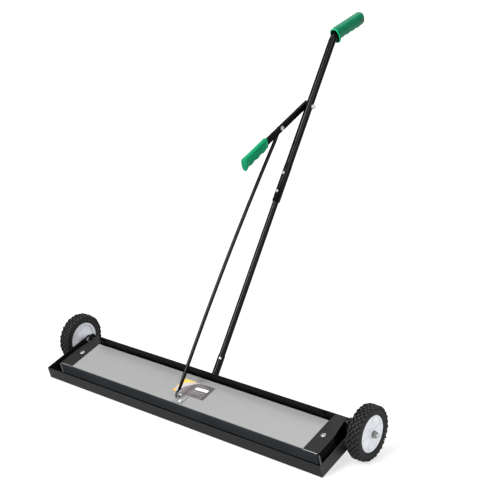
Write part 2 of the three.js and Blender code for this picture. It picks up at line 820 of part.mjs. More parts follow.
// Round bar with both ends pressed flat, and a bolt hole in each.
function liftRod() {
  const flat = 2.9;
  const eye = 5.4;
  const tip = [[-eye, 1.6, 1.4], [-4.5, 2.4, 2.9], [-2.7, flat, 4.6], [0, flat, eye], [24, flat, 6]];
  const shaft = 9;
  const neck = 40;
  const middle = Array.from({ length: shaft + 1 }, (_, i) => (
    [neck + (i / shaft) * (rodLength - 2 * neck), rodRadius, rodRadius]));
  const top = tip.map(([d, a, b]) => [rodLength - d, a, b]).reverse();
  const bar = loft([...tip, ...middle, ...top].map(([d, a, b]) => rodRing(d, a, b)));
  const slack = 1;
  const holes = [-slack, 0, slack].map((shift) => {
    const place = rodTop.clone().addScaledVector(rodDirection, shift);
    return barX(3 + running, [leverX - 6, leverX + 6], place.x, place.y);
  });
  return cut(bar, barX(3 + running, [leverX - 6, leverX + 6], clevisY, clevisZ), ...holes);
}

// ---- assembly ----

function buildTray(group) {
  add(group, 'tray_pan', trayPan(), blackPaint);
  addPair(group, 'end_plate', endPlate(), blackPaint);
  addPair(group, 'hinge_bracket', hingeBracket(), blackPaint);
  addPair(group, 'hinge_bolt', hingeBolt(), blackPaint);
  addPair(group, 'hinge_pin', hingePin(), zinc);
}

function buildWheels(group) {
  addPair(group, 'tyre', tyre(), rubber);
  addPair(group, 'hub', hub(), hubPlastic);
  addPair(group, 'wheel_bush', bush(), nylon);
  addPair(group, 'axle_bolt', axleBolt(), zinc);
  const bore = axleRadius + gap;
  addPair(group, 'axle_spacer', plainRing(8, bore, [trayHalf + gap, wheelX - 15.8]), zinc);
  addPair(group, 'axle_washer', plainRing(11, bore, [axleNutX - 2.3, axleNutX - gap]), zinc);
  addPair(group, 'axle_nut', plainRing(9.5, bore, [axleNutX, axleNutX + axleNutThickness], 6), zinc);
}

function buildCarrier(group) {
  add(group, 'carrier_channel', carrierChannel(), blackPaint);
  addPair(group, 'carrier_arm', carrierArm(), blackPaint);
  addPair(group, 'strap_screw', strapScrew(), zinc);
  add(group, 'top_plate', topPlate(), greyPlate);
  add(group, 'magnet_yoke', magnetYoke(), zinc);
  for (let i = 0; i < magnetCount; i += 1) {
    add(group, `magnet_${i + 1}`, magnetBlock(i), ferrite);
  }
  add(group, 'clevis_bracket', clevisBracket(), zinc);
  add(group, 'clevis_bolt', clevisBolt(), zinc);
  add(group, 'clevis_pin', clevisPin(), zinc);
  add(group, 'hairpin_clip', hairpinClip(), zinc);
  add(group, 'label', box([-56, 58], [-97, -40], [plateTop + gap, plateTop + gap + 0.5]), labelVinyl);
}

function buildHandle(group) {
  add(group, 'handle_bracket', handleBracket(), blackPaint);
  add(group, 'socket_pin', socketPin(), zinc);
  add(group, 'socket_tube', socketTube(), blackPaint);
  add(group, 'lower_tube', lowerTube(), blackPaint);
  add(group, 'lower_joint_bolt', jointBolt(lowerJointY, socketRadius, lowerJointTurn), zinc);
  add(group, 'upper_tube', upperTube(), blackPaint);
  upperJointY.forEach((y, i) => {
    add(group, `upper_joint_bolt_${i + 1}`, jointBolt(y, upperTubeRadius + swageStep), zinc);
  });
  add(group, 'main_grip', mainGrip(), greenPlastic);
}

function buildLever(group) {
  const lever = new THREE.Group();
  lever.position.copy(leverPivot);
  lever.rotation.x = leverDrop;
  add(lever, 'lever_bar', leverBar(), blackPaint);
  add(lever, 'lever_grip', leverGrip(), greenPlastic);
  add(lever, 'rod_bolt', rodBolt(), zinc);
  add(lever, 'rod_nut', rodNut(), zinc);
  add(lever, 'pivot_bolt', pivotBolt(), zinc);
  group.add(lever);
}

// Nose-down angle that puts the tray's front bottom edge on the floor.
function restTilt() {
  const reach = Math.hypot(trayFront, trayFloor);
  return Math.asin(wheelRadius / reach) - Math.atan2(-trayFloor, -trayFront);
}

const sweeper = new THREE.Group();
const tipped = new THREE.Group();
tipped.rotation.x = restTilt();
tipped.position.z = wheelRadius;
sweeper.add(tipped);
buildTray(tipped);
buildWheels(tipped);
buildCarrier(tipped);
buildHandle(tipped);
buildLever(tipped);
add(tipped, 'lift_rod', liftRod(), blackPaint);

// The origin is the middle of the sweeper's footprint box, on the floor.
sweeper.updateMatrixWorld(true);
const extent = new THREE.Box3().setFromObject(sweeper, true);
sweeper.position.set(0, -(extent.min.y + extent.max.y) / 2, -extent.min.z);

export default sweeper;
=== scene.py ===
import json
import math

import bmesh
import bpy
from mathutils import Matrix, Vector


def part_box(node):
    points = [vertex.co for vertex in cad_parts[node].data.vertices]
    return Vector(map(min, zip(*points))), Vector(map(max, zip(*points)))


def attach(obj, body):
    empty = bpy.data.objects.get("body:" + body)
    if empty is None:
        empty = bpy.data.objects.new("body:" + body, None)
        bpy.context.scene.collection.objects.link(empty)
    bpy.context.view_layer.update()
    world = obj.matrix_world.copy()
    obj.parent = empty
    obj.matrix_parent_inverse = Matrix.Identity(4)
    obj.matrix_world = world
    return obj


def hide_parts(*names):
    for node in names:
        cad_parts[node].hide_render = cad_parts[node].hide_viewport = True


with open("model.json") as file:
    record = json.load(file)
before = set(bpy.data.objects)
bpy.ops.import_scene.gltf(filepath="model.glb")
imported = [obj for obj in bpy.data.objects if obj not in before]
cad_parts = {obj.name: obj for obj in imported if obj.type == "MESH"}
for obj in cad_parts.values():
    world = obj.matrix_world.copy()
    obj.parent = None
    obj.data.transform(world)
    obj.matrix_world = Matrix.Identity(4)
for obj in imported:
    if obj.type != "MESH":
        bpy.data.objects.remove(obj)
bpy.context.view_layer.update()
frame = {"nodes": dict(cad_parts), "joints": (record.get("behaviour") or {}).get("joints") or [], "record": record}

# Looks for the magnetic nail sweeper. Shapes are drawn in millimetres in the tray's own frame: the
# origin is the middle of the axle, +X to the right wheel, +Y from the tray's front to its back.
# TRAY carries them into the CAD frame, in metres.

MM = 0.001
SIDES = (("right", 1), ("left", -1))
RECORD = frame["record"]
JOINTS = {joint["name"]: joint for joint in frame["joints"]}
MOUNTS = {mount["name"]: mount for mount in RECORD["mounts"]}


def tray_matrix():
    """The tray's frame, from the wheel axle and the tray's two flat faces."""
    across = Vector((1, 0, 0))
    back = -Vector(MOUNTS["front_face"]["axis"])
    up = -Vector(MOUNTS["pickup_face"]["axis"])
    axle = Vector(JOINTS["right_wheel_spin"]["pos_m"])
    axle.x = 0
    turn = Matrix((across, back, up)).transposed().to_4x4()
    return Matrix.Translation(axle) @ turn @ Matrix.Scale(MM, 4)


TRAY = tray_matrix()
TO_TRAY = TRAY.inverted()


def joint_point(name):
    """A joint's place in the tray's frame."""
    return TO_TRAY @ Vector(JOINTS[name]["pos_m"])


def node_middle(name):
    """The middle of a CAD node's box, in the tray's frame."""
    low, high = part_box(name)
    return TO_TRAY @ ((low + high) / 2)


def node_span(name):
    """A CAD node's reach along X, in millimetres."""
    low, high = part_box(name)
    return low.x / MM, high.x / MM


# ---- sizes ----

GAP = 0.3
WHEEL_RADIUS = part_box("tyre_right")[1].z / MM / 2
TYRE_LOW, TYRE_HIGH = node_span("tyre_right")
WHEEL_X = (TYRE_LOW + TYRE_HIGH) / 2
TYRE_HALF = (TYRE_HIGH - TYRE_LOW) / 2
TYRE_BORE = 50.5
BOSS_FACE = node_span("hub_right")[1] - WHEEL_X
HUB_FACE = BOSS_FACE - 2.3

PLATE_TOP = 15.7
MAGNETS = 5
PLATE_HALF = node_span("top_plate")[1]
CARRIER_FRONT = -140
SHEET = 1.5

PIVOT = joint_point("lever_pull")
HINGE = joint_point("carrier_tilt")
CLEVIS = joint_point("rod_swing")
ROD_BOLT = node_middle("rod_bolt")
SOCKET_PIN = node_middle("socket_pin")
LEVER_X = PIVOT.x
LEVER_HALF = 5
LEVER_DROP = math.radians(6.8)

TUBE_SIDES = 48
LOWER_TUBE = 9.4
UPPER_TUBE = 11.5
SWAGE = 12.1
SOCKET = 10.6
SOCKET_SPAN = (12, 71)
LOWER_SPAN = (38, 518)
SWAGE_SPAN = (435, 526)
LOWER_JOINT = (63, math.radians(25))
UPPER_JOINTS = (458, 502)
BEND_Y = 848.5
BEND_RADIUS = 60
GRIP_DROOP = math.radians(1.3)
GRIP_MOUTH = 852
GRIP_LENGTH = 150
LEVER_GRIP = (-207, -320)


# ---- shapes: lists of points and faces ----

ABOUT = Matrix.Rotation(math.pi, 4, "Z")


class Shape:
    """Points and faces, in millimetres in the tray's frame."""

    def __init__(self, points=(), faces=()):
        self.points = [Vector(point) for point in points]
        self.faces = [tuple(face) for face in faces]

    def add(self, other):
        start = len(self.points)
        self.points += other.points
        self.faces += [tuple(start + corner for corner in face) for face in other.faces]
        return self

    def moved(self, matrix):
        return Shape([matrix @ point for point in self.points], self.faces)

    def at(self, x, y, z):
        return self.moved(Matrix.Translation((x, y, z)))

    def mirrored(self):
        return Shape([(-p.x, p.y, p.z) for p in self.points], self.faces)


def loft(rings, closed_ends=True):
    """A skin through rings of points that all have the same count."""
    count = len(rings[0])
    faces = []
    for ring in range(len(rings) - 1):
        for i in range(count):
            a = ring * count + i
            b = ring * count + (i + 1) % count
            faces.append((a, b, b + count, a + count))
    if closed_ends:
        last = (len(rings) - 1) * count
        faces.append(tuple(range(count)))
        faces.append(tuple(range(last, last + count)))
    return Shape([point for ring in rings for point in ring], faces)


def tube(rings):
    """A skin whose last ring joins on to its first, for a hollow shape."""
    return loft([*rings, rings[0]], closed_ends=False)


def revolve(profile, sides):
    """A (radius, along) profile turned about the X axis. A radius of 0 closes an end."""
    turns = [2 * math.pi * i / sides for i in range(sides)]
    rings = [[(x, radius * math.cos(a), radius * math.sin(a)) for a in turns] for radius, x in profile]
    return loft(rings, closed_ends=False)


def ring_of(profile, sides):
    """A closed (radius, along) profile turned about the X axis."""
    return revolve([*profile, profile[0]], sides)


BOX_FACES = [(0, 1, 3, 2), (4, 6, 7, 5), (0, 4, 5, 1), (2, 3, 7, 6), (0, 2, 6, 4), (1, 5, 7, 3)]


def block(low, high):
    """A box between two corners."""
    xs, ys, zs = zip(low, high)
    return Shape([(x, y, z) for x in xs for y in ys for z in zs], BOX_FACES)


def sheet_of(outline, bottom, top):
    """An (x, y) outline made into a flat plate between two heights."""
    return loft([[(x, y, z) for x, y in outline] for z in (bottom, top)])


def hexagon(width, height, chamfer):
    """A hexagon head along +X from the origin, its outer corners turned off."""
    rings = []
    levels = ((0, 0.94, 0), (0.4, 1, 0), (height - chamfer, 1, 0.55), (height, 0.9, 0))
    for x, scale, drop in levels:
        ring = []
        for i in range(12):
            corner = i % 2 == 0
            radius = width / math.sqrt(3) if corner else width / 2
            angle = math.pi * i / 6
            lift = 0 if corner else drop
            reach = min(radius, width / 2 * 1.04) if scale < 1 else radius
            ring.append((x + lift, reach * scale * math.cos(angle), reach * scale * math.sin(angle)))
        rings.append(ring)
    return loft(rings)


def threaded(radius, start, end):
    """A bolt's shank along X with its thread drawn as fine ridges and a chamfered tip."""
    pitch = 1.2
    profile = [(0, start)]
    ridges = max(2, round((end - start - 1) / pitch))
    for i in range(ridges):
        x = start + i * pitch
        profile += [(radius - 0.35, x), (radius, x + pitch * 0.4), (radius, x + pitch * 0.6)]
    profile += [(radius - 0.35, end - 0.6), (radius - 0.9, end), (0, end)]
    return revolve(profile, 24)


def sided(shape, sign):
    """A shape drawn on the +X side, for the side that the sign says."""
    return shape if sign > 0 else shape.mirrored()


def aimed(shape, place, direction):
    """A shape drawn along +X, turned to a direction and moved to a place."""
    turn = Vector((1, 0, 0)).rotation_difference(Vector(direction)).to_matrix().to_4x4()
    return shape.moved(Matrix.Translation(Vector(place)) @ turn)


# ---- pieces ----

def into_scene(name, data):
    made = bpy.data.objects.new(name, data)
    bpy.context.scene.collection.objects.link(made)
    return made


def smooth_sharp(mesh, angle):
    mesh.polygons.foreach_set("use_smooth", [True] * len(mesh.polygons))
    mesh.set_sharp_from_angle(angle=math.radians(angle))


def piece(name, shape, body, material, stands_for=(), angle=35):
    """Makes an object from a shape and rides it on a body."""
    mesh = bpy.data.meshes.new(name)
    mesh.from_pydata([TRAY @ point for point in shape.points], [], shape.faces)
    work = bmesh.new()
    work.from_mesh(mesh)
    bmesh.ops.remove_doubles(work, verts=work.verts, dist=1e-6)
    bmesh.ops.recalc_face_normals(work, faces=work.faces)
    work.to_mesh(mesh)
    work.free()
    smooth_sharp(mesh, angle)
    mesh.materials.append(material)
    made = into_scene(name, mesh)
    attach(made, body)
    if stands_for:
        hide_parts(*stands_for)
    return made


def soften(obj, width, segments=2):
    """Rounds an object's sharp edges by a width in millimetres."""
    bevel = obj.modifiers.new("edges", "BEVEL")
    bevel.width = width * MM
    bevel.segments = segments
    bevel.limit_method = "ANGLE"
    bevel.angle_limit = math.radians(40)
    bevel.use_clamp_overlap = True


def keep_node(name, material, width, segments=2):
    """Gives a CAD node its material, and rounds its edges."""
    node = frame["nodes"][name]
    node.data.materials.clear()
    node.data.materials.append(material)
    soften(node, width, segments)


# ---- materials ----

class Nodes:
    """Short calls for building one material's node tree."""

    def __init__(self, name):
        self.material = bpy.data.materials.new(name)
        self.material.use_nodes = True
        self.tree = self.material.node_tree
        self.shader = self.tree.nodes["Principled BSDF"]
        self.place = self.node("ShaderNodeTexCoord").outputs["Object"]

    def node(self, kind, **settings):
        made = self.tree.nodes.new(kind)
        for key, value in settings.items():
            setattr(made, key, value)
        return made

    def link(self, source, target):
        self.tree.links.new(source, target)

    def stretched(self, scale):
        """The object's coordinates, scaled by a different amount along each axis."""
        mapping = self.node("ShaderNodeMapping")
        mapping.inputs["Scale"].default_value = scale
        self.link(self.place, mapping.inputs["Vector"])
        return mapping.outputs["Vector"]

    def noise(self, scale, detail=4, roughness=0.55, vector=None):
        made = self.node("ShaderNodeTexNoise")
        made.inputs["Scale"].default_value = scale
        made.inputs["Detail"].default_value = detail
        made.inputs["Roughness"].default_value = roughness
        self.link(vector or self.place, made.inputs["Vector"])
        return made.outputs["Fac"]

    def cells(self, scale, output="Distance"):
        made = self.node("ShaderNodeTexVoronoi")
        made.inputs["Scale"].default_value = scale
        self.link(self.place, made.inputs["Vector"])
        return made.outputs[output]

    def ramp(self, factor, *stops):
        """Maps a factor through two (position, colour) stops."""
        made = self.node("ShaderNodeValToRGB")
        for element, (position, colour) in zip(made.color_ramp.elements, stops):
            element.position = position
            element.color = (*colour, 1)
        self.link(factor, made.inputs["Fac"])
        return made.outputs["Color"]

    def level(self, factor, low, high, start=0.3, end=0.7):
        """Maps a factor from start..end to the values low..high."""
        made = self.node("ShaderNodeMapRange")
        for socket, value in (("From Min", start), ("From Max", end), ("To Min", low), ("To Max", high)):
            made.inputs[socket].default_value = value
        self.link(factor, made.inputs["Value"])
        return made.outputs["Result"]

    def mix(self, factor, first, second):
        made = self.node("ShaderNodeMix", data_type="RGBA")
        self.link(factor, made.inputs["Factor"])
        for value, socket in ((first, made.inputs[6]), (second, made.inputs[7])):
            if isinstance(value, tuple):
                socket.default_value = (*value, 1)
            else:
                self.link(value, socket)
        return made.outputs[2]

    def bump(self, height, strength, distance, under=None):
        made = self.node("ShaderNodeBump")
        made.inputs["Strength"].default_value = strength
        made.inputs["Distance"].default_value = distance * MM
        self.link(height, made.inputs["Height"])
        if under is not None:
            self.link(under, made.inputs["Normal"])
        return made.outputs["Normal"]

    def set(self, **values):
        """Sets constants on the shader's sockets. Underscores stand for spaces."""
        for key, value in values.items():
            self.shader.inputs[key.replace("_", " ")].default_value = value

    def use(self, **sources):
        """Links node outputs to the shader's sockets."""
        for key, source in sources.items():
            self.link(source, self.shader.inputs[key.replace("_", " ")])
        return self.material


def shade(tone, factor):
    return tuple(value * factor for value in tone)


def dusty_paint(n, tone):
    """Paint that faint dust lightens in places, as (the dust, the colour)."""
    dust = n.noise(9, 5, 0.6)
    return dust, n.ramp(dust, (0.35, tone), (0.75, shade(tone, 1.35)))


def orange_peel(n):
    """The fine rippled skin of powder coat."""
    peel = n.bump(n.noise(700, 2, 0.5), 0.12, 0.25)
    return n.bump(n.noise(2600, 2, 0.5), 0.08, 0.08, under=peel)


def powder_coat(name, tone, gloss, shine):
    """Black powder coat: fine orange peel, faint dust and a few paler rubbed specks."""
    n = Nodes(name)
    dust, paint = dusty_paint(n, tone)
    specks = n.level(n.noise(120, 6, 0.7), 0, 1, 0.735, 0.75)
    n.set(Specular_IOR_Level=shine)
    return n.use(
        Base_Color=n.mix(specks, paint, shade(tone, 1.8)),
        Roughness=n.level(dust, gloss, gloss + 0.12),
        Normal=orange_peel(n),
    )


def tray_coat(front, back):
    """The tray's powder coat: one tone on its front wall, and a deeper one, painted shade, on everything behind
    that inside the tray.
    """
    n = Nodes("tray_coat")
    split = n.node("ShaderNodeSeparateXYZ")
    n.link(n.place, split.inputs["Vector"])
    # Painted shade: everything behind the front wall takes the deeper tone, standing for the shade inside the
    # tray.
    behind = n.level(split.outputs["Y"], 0, 1, *TRAY_SHADE_SPAN)
    dust, paint = dusty_paint(n, front)
    n.set(Specular_IOR_Level=0.1)
    return n.use(
        Base_Color=n.mix(behind, paint, back),
        Roughness=n.level(dust, 0.38, 0.5),
        Normal=orange_peel(n),
    )


def tube_enamel():
    """Gloss black enamel on the tubes, with faint scuffs along them."""
    n = Nodes("tube_enamel")
    scuffs = n.noise(1, 5, 0.6, n.stretched((160, 18, 18)))
    n.set(Specular_IOR_Level=0.11)
    return n.use(
        Base_Color=n.ramp(scuffs, (0.4, (0.0012, 0.0012, 0.0013)), (0.8, (0.0028, 0.0028, 0.003))),
        Roughness=n.level(scuffs, 0.14, 0.2),
        Normal=n.bump(n.noise(420, 2, 0.5), 0.05, 0.2),
    )


def grey_steel():
    """The plate's smooth light steel: fine rolling lines along X, faint handling smudges."""
    n = Nodes("grey_steel")
    lines = n.noise(1, 3, 0.6, n.stretched((14, 1500, 1500)))
    smudges = n.noise(5, 4, 0.6)
    streaks = n.ramp(lines, (0.3, (0.232, 0.2335, 0.231)), (0.7, (0.254, 0.2555, 0.2525)))
    n.set(Metallic=0.35, Specular_IOR_Level=0.4)
    return n.use(
        Base_Color=n.mix(n.level(smudges, 0, 0.22), streaks, (0.208, 0.2095, 0.207)),
        Roughness=n.level(smudges, 0.42, 0.55),
        Normal=n.bump(lines, 0.1, 0.05),
    )


def zinc_plate(name, bright, dull):
    """Zinc plating: small crystalline patches and a soft haze."""
    n = Nodes(name)
    patches = n.cells(420, "Color")
    haze = n.noise(160, 4, 0.6)
    n.set(Metallic=0.65)
    return n.use(
        Base_Color=n.mix(n.level(haze, 0.1, 0.5), bright, dull),
        Roughness=n.mix(n.level(haze, 0, 1), n.level(patches, 0.18, 0.28), (0.34, 0.34, 0.34)),
        Normal=n.bump(n.noise(900, 3, 0.6), 0.1, 0.05),
    )


def highlight_metal():
    """Bright metal with fine lines across it, used as a painted highlight on the carrier's front edges."""
    n = Nodes("highlight_metal")
    lines = n.noise(1, 2, 0.5, n.stretched((300, 300, 2600)))
    n.set(Metallic=0.85)
    return n.use(
        Base_Color=n.ramp(lines, (0.3, (0.62, 0.63, 0.64)), (0.7, (0.82, 0.83, 0.84))),
        Roughness=n.level(lines, 0.3, 0.45),
        Normal=n.bump(lines, 0.15, 0.05),
    )


def tyre_rubber():
    """Black moulded rubber: matt, slightly greyed in soft patches, fine pores."""
    n = Nodes("tyre_rubber")
    bloom = n.noise(70, 5, 0.65)
    pores = n.bump(n.cells(1800), 0.25, 0.12)
    n.set(Specular_IOR_Level=0.3)
    return n.use(
        Base_Color=n.ramp(bloom, (0.3, (0.0052, 0.0052, 0.0057)), (0.75, (0.0135, 0.0135, 0.0142))),
        Roughness=n.level(bloom, 0.62, 0.82),
        Normal=n.bump(n.noise(500, 3, 0.6), 0.2, 0.2, under=pores),
    )


def hub_plastic():
    """Cool white moulded plastic with a faint grain and light grime."""
    n = Nodes("hub_plastic")
    grime = n.noise(38, 5, 0.65)
    n.set(Subsurface_Weight=0.05, Specular_IOR_Level=0.45)
    return n.use(
        Base_Color=n.ramp(grime, (0.3, (0.72, 0.73, 0.765)), (0.8, (0.58, 0.59, 0.625))),
        Roughness=n.level(grime, 0.36, 0.5),
        Normal=n.bump(n.noise(1500, 2, 0.5), 0.12, 0.08),
    )


def green_vinyl(name, tone):
    """Green dipped vinyl: satin, a little mottled, with a fine matt grain."""
    n = Nodes(name)
    mottle = n.noise(45, 4, 0.6)
    grain = n.bump(n.noise(1700, 2, 0.5), 0.2, 0.1)
    n.set(Specular_IOR_Level=0.12)
    return n.use(
        Base_Color=n.ramp(mottle, (0.3, tone), (0.75, shade(tone, 0.82))),
        Roughness=n.level(mottle, 0.4, 0.52),
        Normal=n.bump(n.noise(260, 2, 0.5), 0.08, 0.3, under=grain),
    )


def ferrite():
    """Dull dark ceramic, speckled and slightly chalky."""
    n = Nodes("ferrite")
    speckle = n.noise(900, 3, 0.7)
    return n.use(
        Base_Color=n.ramp(speckle, (0.35, (0.028, 0.028, 0.03)), (0.7, (0.06, 0.06, 0.063))),
        Roughness=n.level(speckle, 0.6, 0.75),
        Normal=n.bump(speckle, 0.3, 0.1),
    )


def printed_vinyl(name, light, dark, scale=26):
    """One flat ink of the label, softly uneven, under a gloss film."""
    n = Nodes(name)
    ink = n.noise(scale, 3, 0.5)
    n.set(Coat_Weight=0.4, Coat_Roughness=0.15)
    return n.use(
        Base_Color=n.ramp(ink, (0.3, light), (0.7, dark)),
        Roughness=n.level(n.noise(200, 3, 0.6), 0.34, 0.46),
        Normal=n.bump(n.noise(600, 2, 0.5), 0.05, 0.05),
    )


def black_nylon():
    """Black nylon with a waxy grain."""
    n = Nodes("black_nylon")
    grain = n.noise(800, 3, 0.6)
    return n.use(
        Base_Color=n.ramp(grain, (0.3, (0.012, 0.012, 0.013)), (0.7, (0.022, 0.022, 0.023))),
        Roughness=n.level(grain, 0.4, 0.55),
        Normal=n.bump(grain, 0.15, 0.08),
    )


BLACK = powder_coat("tray_black", (0.006, 0.006, 0.0064), 0.38, 0.25)
# Painted shade: a deeper black for the hinge bolt heads, matching the shade on the tray's inner back wall.
SHADED_WALL_BLACK = powder_coat("shaded_wall_black", (0.0016, 0.0016, 0.0017), 0.34, 0.06)
STRAP = powder_coat("strap_black", (0.0088, 0.0086, 0.0083), 0.48, 0.14)
CARRIER = powder_coat("carrier_black", (0.028, 0.0315, 0.0345), 0.4, 0.25)
# Painted shade inside the tray fades in between these two places along Y.
TRAY_SHADE_SPAN = [(TRAY @ Vector((0, y, 0))).y for y in (-150, -140)]
TRAY_COAT = tray_coat((0.0078, 0.0078, 0.0081), (0.0008, 0.0008, 0.0009))
LEVER_BLACK = powder_coat("lever_black", (0.0014, 0.0014, 0.0015), 0.34, 0.03)
ENAMEL = tube_enamel()
PLATE = grey_steel()
ZINC = zinc_plate("zinc_plate", (0.62, 0.635, 0.65), (0.46, 0.475, 0.49))
DULL_ZINC = zinc_plate("dull_zinc", (0.46, 0.465, 0.47), (0.3, 0.305, 0.31))
DARK_ZINC = zinc_plate("dark_zinc", (0.3, 0.3, 0.295), (0.15, 0.15, 0.15))
BLACKENED = zinc_plate("blackened_zinc", (0.03, 0.03, 0.031), (0.015, 0.015, 0.016))
# Painted highlight: bright metal standing for the glints on the carrier's bent front edges.
PAINTED_HIGHLIGHT = highlight_metal()
RUBBER = tyre_rubber()
HUB = hub_plastic()
GREEN = green_vinyl("grip_green", (0.001, 0.14, 0.067))
BRIGHT_GREEN = green_vinyl("lever_green", (0.0005, 0.2, 0.086))
# Painted highlight: a much lighter copy of the grip green for the lit rim of the grip's mouth.
LIT_LIP_GREEN = green_vinyl("lit_lip_green", (0.004, 0.42, 0.2))
FERRITE = ferrite()
# Black nylon for the wheel bushes; also used as painted shade in the grip's hanging slot.
BLACK_NYLON_AND_SHADE = black_nylon()


# ---- wheels, drawn for the +X side about the axle ----

TREAD_DEPTH = 6.5
WHEEL_SIDES = 96


def tyre_carcass():
    """The tyre's round body: a low crown under the tread, full sidewalls and a rolled bead."""
    half = TYRE_HALF - 0.3
    crown = WHEEL_RADIUS - TREAD_DEPTH
    shoulder = [(crown, x) for x in (-half + 9, 0, half - 9)]
    left = [(TYRE_BORE, -half + 4), (TYRE_BORE + 1, -half + 1.6), (TYRE_BORE + 3, -half + 1.2),
            (TYRE_BORE + 4.2, -half + 2), (58, -half + 0.8), (62, -half + 0.2), (65.5, -half + 0.9),
            (crown - 1.4, -half + 3.4)]
    right = [(radius, -x) for radius, x in reversed(left)]
    return ring_of([*left, *shoulder, *right], WHEEL_SIDES)


def tread_block(angle, half_angle, x0, x1, skew, heights):
    """One tread lug from x0 to x1, leaning by skew, with its own height at each end."""
    taper = 0.82
    points = []
    for x, height, lean in ((x0, heights[0], -skew), (x1, heights[1], skew)):
        for radius, share in ((WHEEL_RADIUS - TREAD_DEPTH - 3, 1), (height, taper)):
            for side in (-1, 1):
                turn = angle + lean + side * half_angle * share
                points.append((x, radius * math.cos(turn), radius * math.sin(turn)))
    return Shape(points, BOX_FACES)


def tread():
    """Staggered rows of chunky lugs, every other one a little lower, and lugs down the sidewalls."""
    count = 30
    step = 2 * math.pi / count
    top = WHEEL_RADIUS - 0.15
    half = TYRE_HALF - 0.15
    rows = []
    for side in (-1, 1):
        rows.append((side * 0.8, side * 6.6, 0.25 * side, 0.09, 0, 0, 0.3))
        rows.append((side * 8, side * 12.6, 0.25 * side + 0.5, -0.08, 0, 0.3, 0.3))
        rows.append((side * 12.2, side * half, 0.25 * side, 0, 0.1, 3.2, 0.27))
    lugs = Shape()
    for x0, x1, phase, skew, near, far, wide in rows:
        for i in range(count):
            low = 0.9 * (i % 2)
            heights = (top - near - low, top - far - low)
            lugs.add(tread_block(step * (i + phase), step * wide, x0, x1, skew * step, heights))
    wall_heights = (72.6, 70.4)
    for side in (-1, 1):
        wall_x0, wall_x1 = side * (half - 4), side * (half - 0.3)
        for i in range(count):
            angle = step * (i + 0.25 * side + 0.5)
            lugs.add(tread_block(angle, step * 0.17, wall_x0, wall_x1, 0, wall_heights))
    return lugs


def hub_body():
    """Dished disc with a deep rim, a raised lip and a stepped boss."""
    rim = TYRE_BORE - GAP
    face = HUB_FACE
    bore = 7.4
    back = [
        (bore, -15), (11.4, -15), (12, -14.4), (12.6, -2), (14.5, -0.6), (41, -3.4), (43.6, -5),
        (45.4, -13.6), (46, -14.3), (rim, -14.5),
    ]
    lip = [
        (rim, face - 1.4), (rim - 0.5, face - 0.3), (rim - 1.4, face),
        (47.4, face - 0.2), (46.6, face - 0.8),
    ]
    dish = [(45, face - 4.4), (43.4, face - 5.4), (40, face - 5.6), (17.4, face - 4.2)]
    boss = [
        (15.6, face - 3.4), (14.4, face - 1), (13.4, BOSS_FACE - 0.5),
        (12.6, BOSS_FACE), (bore, BOSS_FACE),
    ]
    return ring_of([*back, *lip, *dish, *boss], WHEEL_SIDES)


def hub_ribs():
    """Low stiffening ribs and one raised ring on the outer face."""
    ribs = Shape()
    count = 6
    for i in range(count):
        turn = Matrix.Rotation(2 * math.pi * (i + 0.5) / count, 4, "X")
        ribs.add(block((HUB_FACE - 6.4, -1.1, 14), (HUB_FACE - 3.6, 1.1, 45.6)).moved(turn))
    radius = 30
    foot, top = HUB_FACE - 5.7, HUB_FACE - 4.6
    ring = [(radius, foot), (radius + 1.4, foot), (radius + 1.2, top), (radius + 0.2, top)]
    return ribs.add(ring_of(ring, WHEEL_SIDES))


def build_wheels():
    shapes = [shape.at(WHEEL_X, 0, 0) for shape in (tyre_carcass(), tread(), hub_body(), hub_ribs())]
    for side, sign in SIDES:
        body = f"{side}_wheel"
        carcass, lugs, disc, ribs = [sided(shape, sign) for shape in shapes]
        piece(f"tyre_body_{side}", carcass, body, RUBBER, [f"tyre_{side}"], 40)
        soften(piece(f"tread_lugs_{side}", lugs, body, RUBBER, angle=30), 0.7)
        piece(f"hub_body_{side}", disc, body, HUB, [f"hub_{side}"], 32)
        soften(piece(f"hub_ribs_{side}", ribs, body, HUB, angle=30), 0.5)
        keep_node(f"wheel_bush_{side}", BLACK_NYLON_AND_SHADE, 0.4)


def axle_bolt():
    """Bolt along X with its head inside the tray and its thread at the outer end."""
    low, high = node_span("axle_bolt_right")
    head = 6
    thread = 18
    radius = 5
    shank = [(0, low + head - 1), (radius, low + head - 1), (radius, high - thread), (0, high - thread)]
    bolt = hexagon(13.8, head, 1).moved(ABOUT).at(low + head, 0, 0)
    bolt.add(revolve(shank, 32))
    return bolt.add(threaded(radius, high - thread - 0.5, high))


def axle_washer():
    low, high = node_span("axle_washer_right")
    return ring_of([(5.3, low), (10.7, low), (11, low + 0.4), (10.7, high), (5.3, high)], 48)


def axle_spacer():
    low, high = node_span("axle_spacer_right")
    profile = [(5.3, low), (7.6, low), (8, low + 0.4), (8, high - 0.4), (7.6, high), (5.3, high)]
    return ring_of(profile, 48)


def axle_nut():
    low, high = node_span("axle_nut_right")
    return hexagon(16.4, high - low, 1.2).at(low, 0, 0)


def build_axles():
    """Axle bolts with their washers, spacers and nuts."""
    shapes = {
        "axle_bolt": (axle_bolt(), DULL_ZINC),
        "axle_washer": (axle_washer(), DULL_ZINC),
        "axle_spacer": (axle_spacer(), ZINC),
        "axle_nut": (axle_nut(), DARK_ZINC),
    }
    for name, (shape, material) in shapes.items():
        for side, sign in SIDES:
            made = sided(shape, sign)
            piece(f"{name}_made_{side}", made, "sweeper_frame", material, [f"{name}_{side}"])


# ---- tray ----

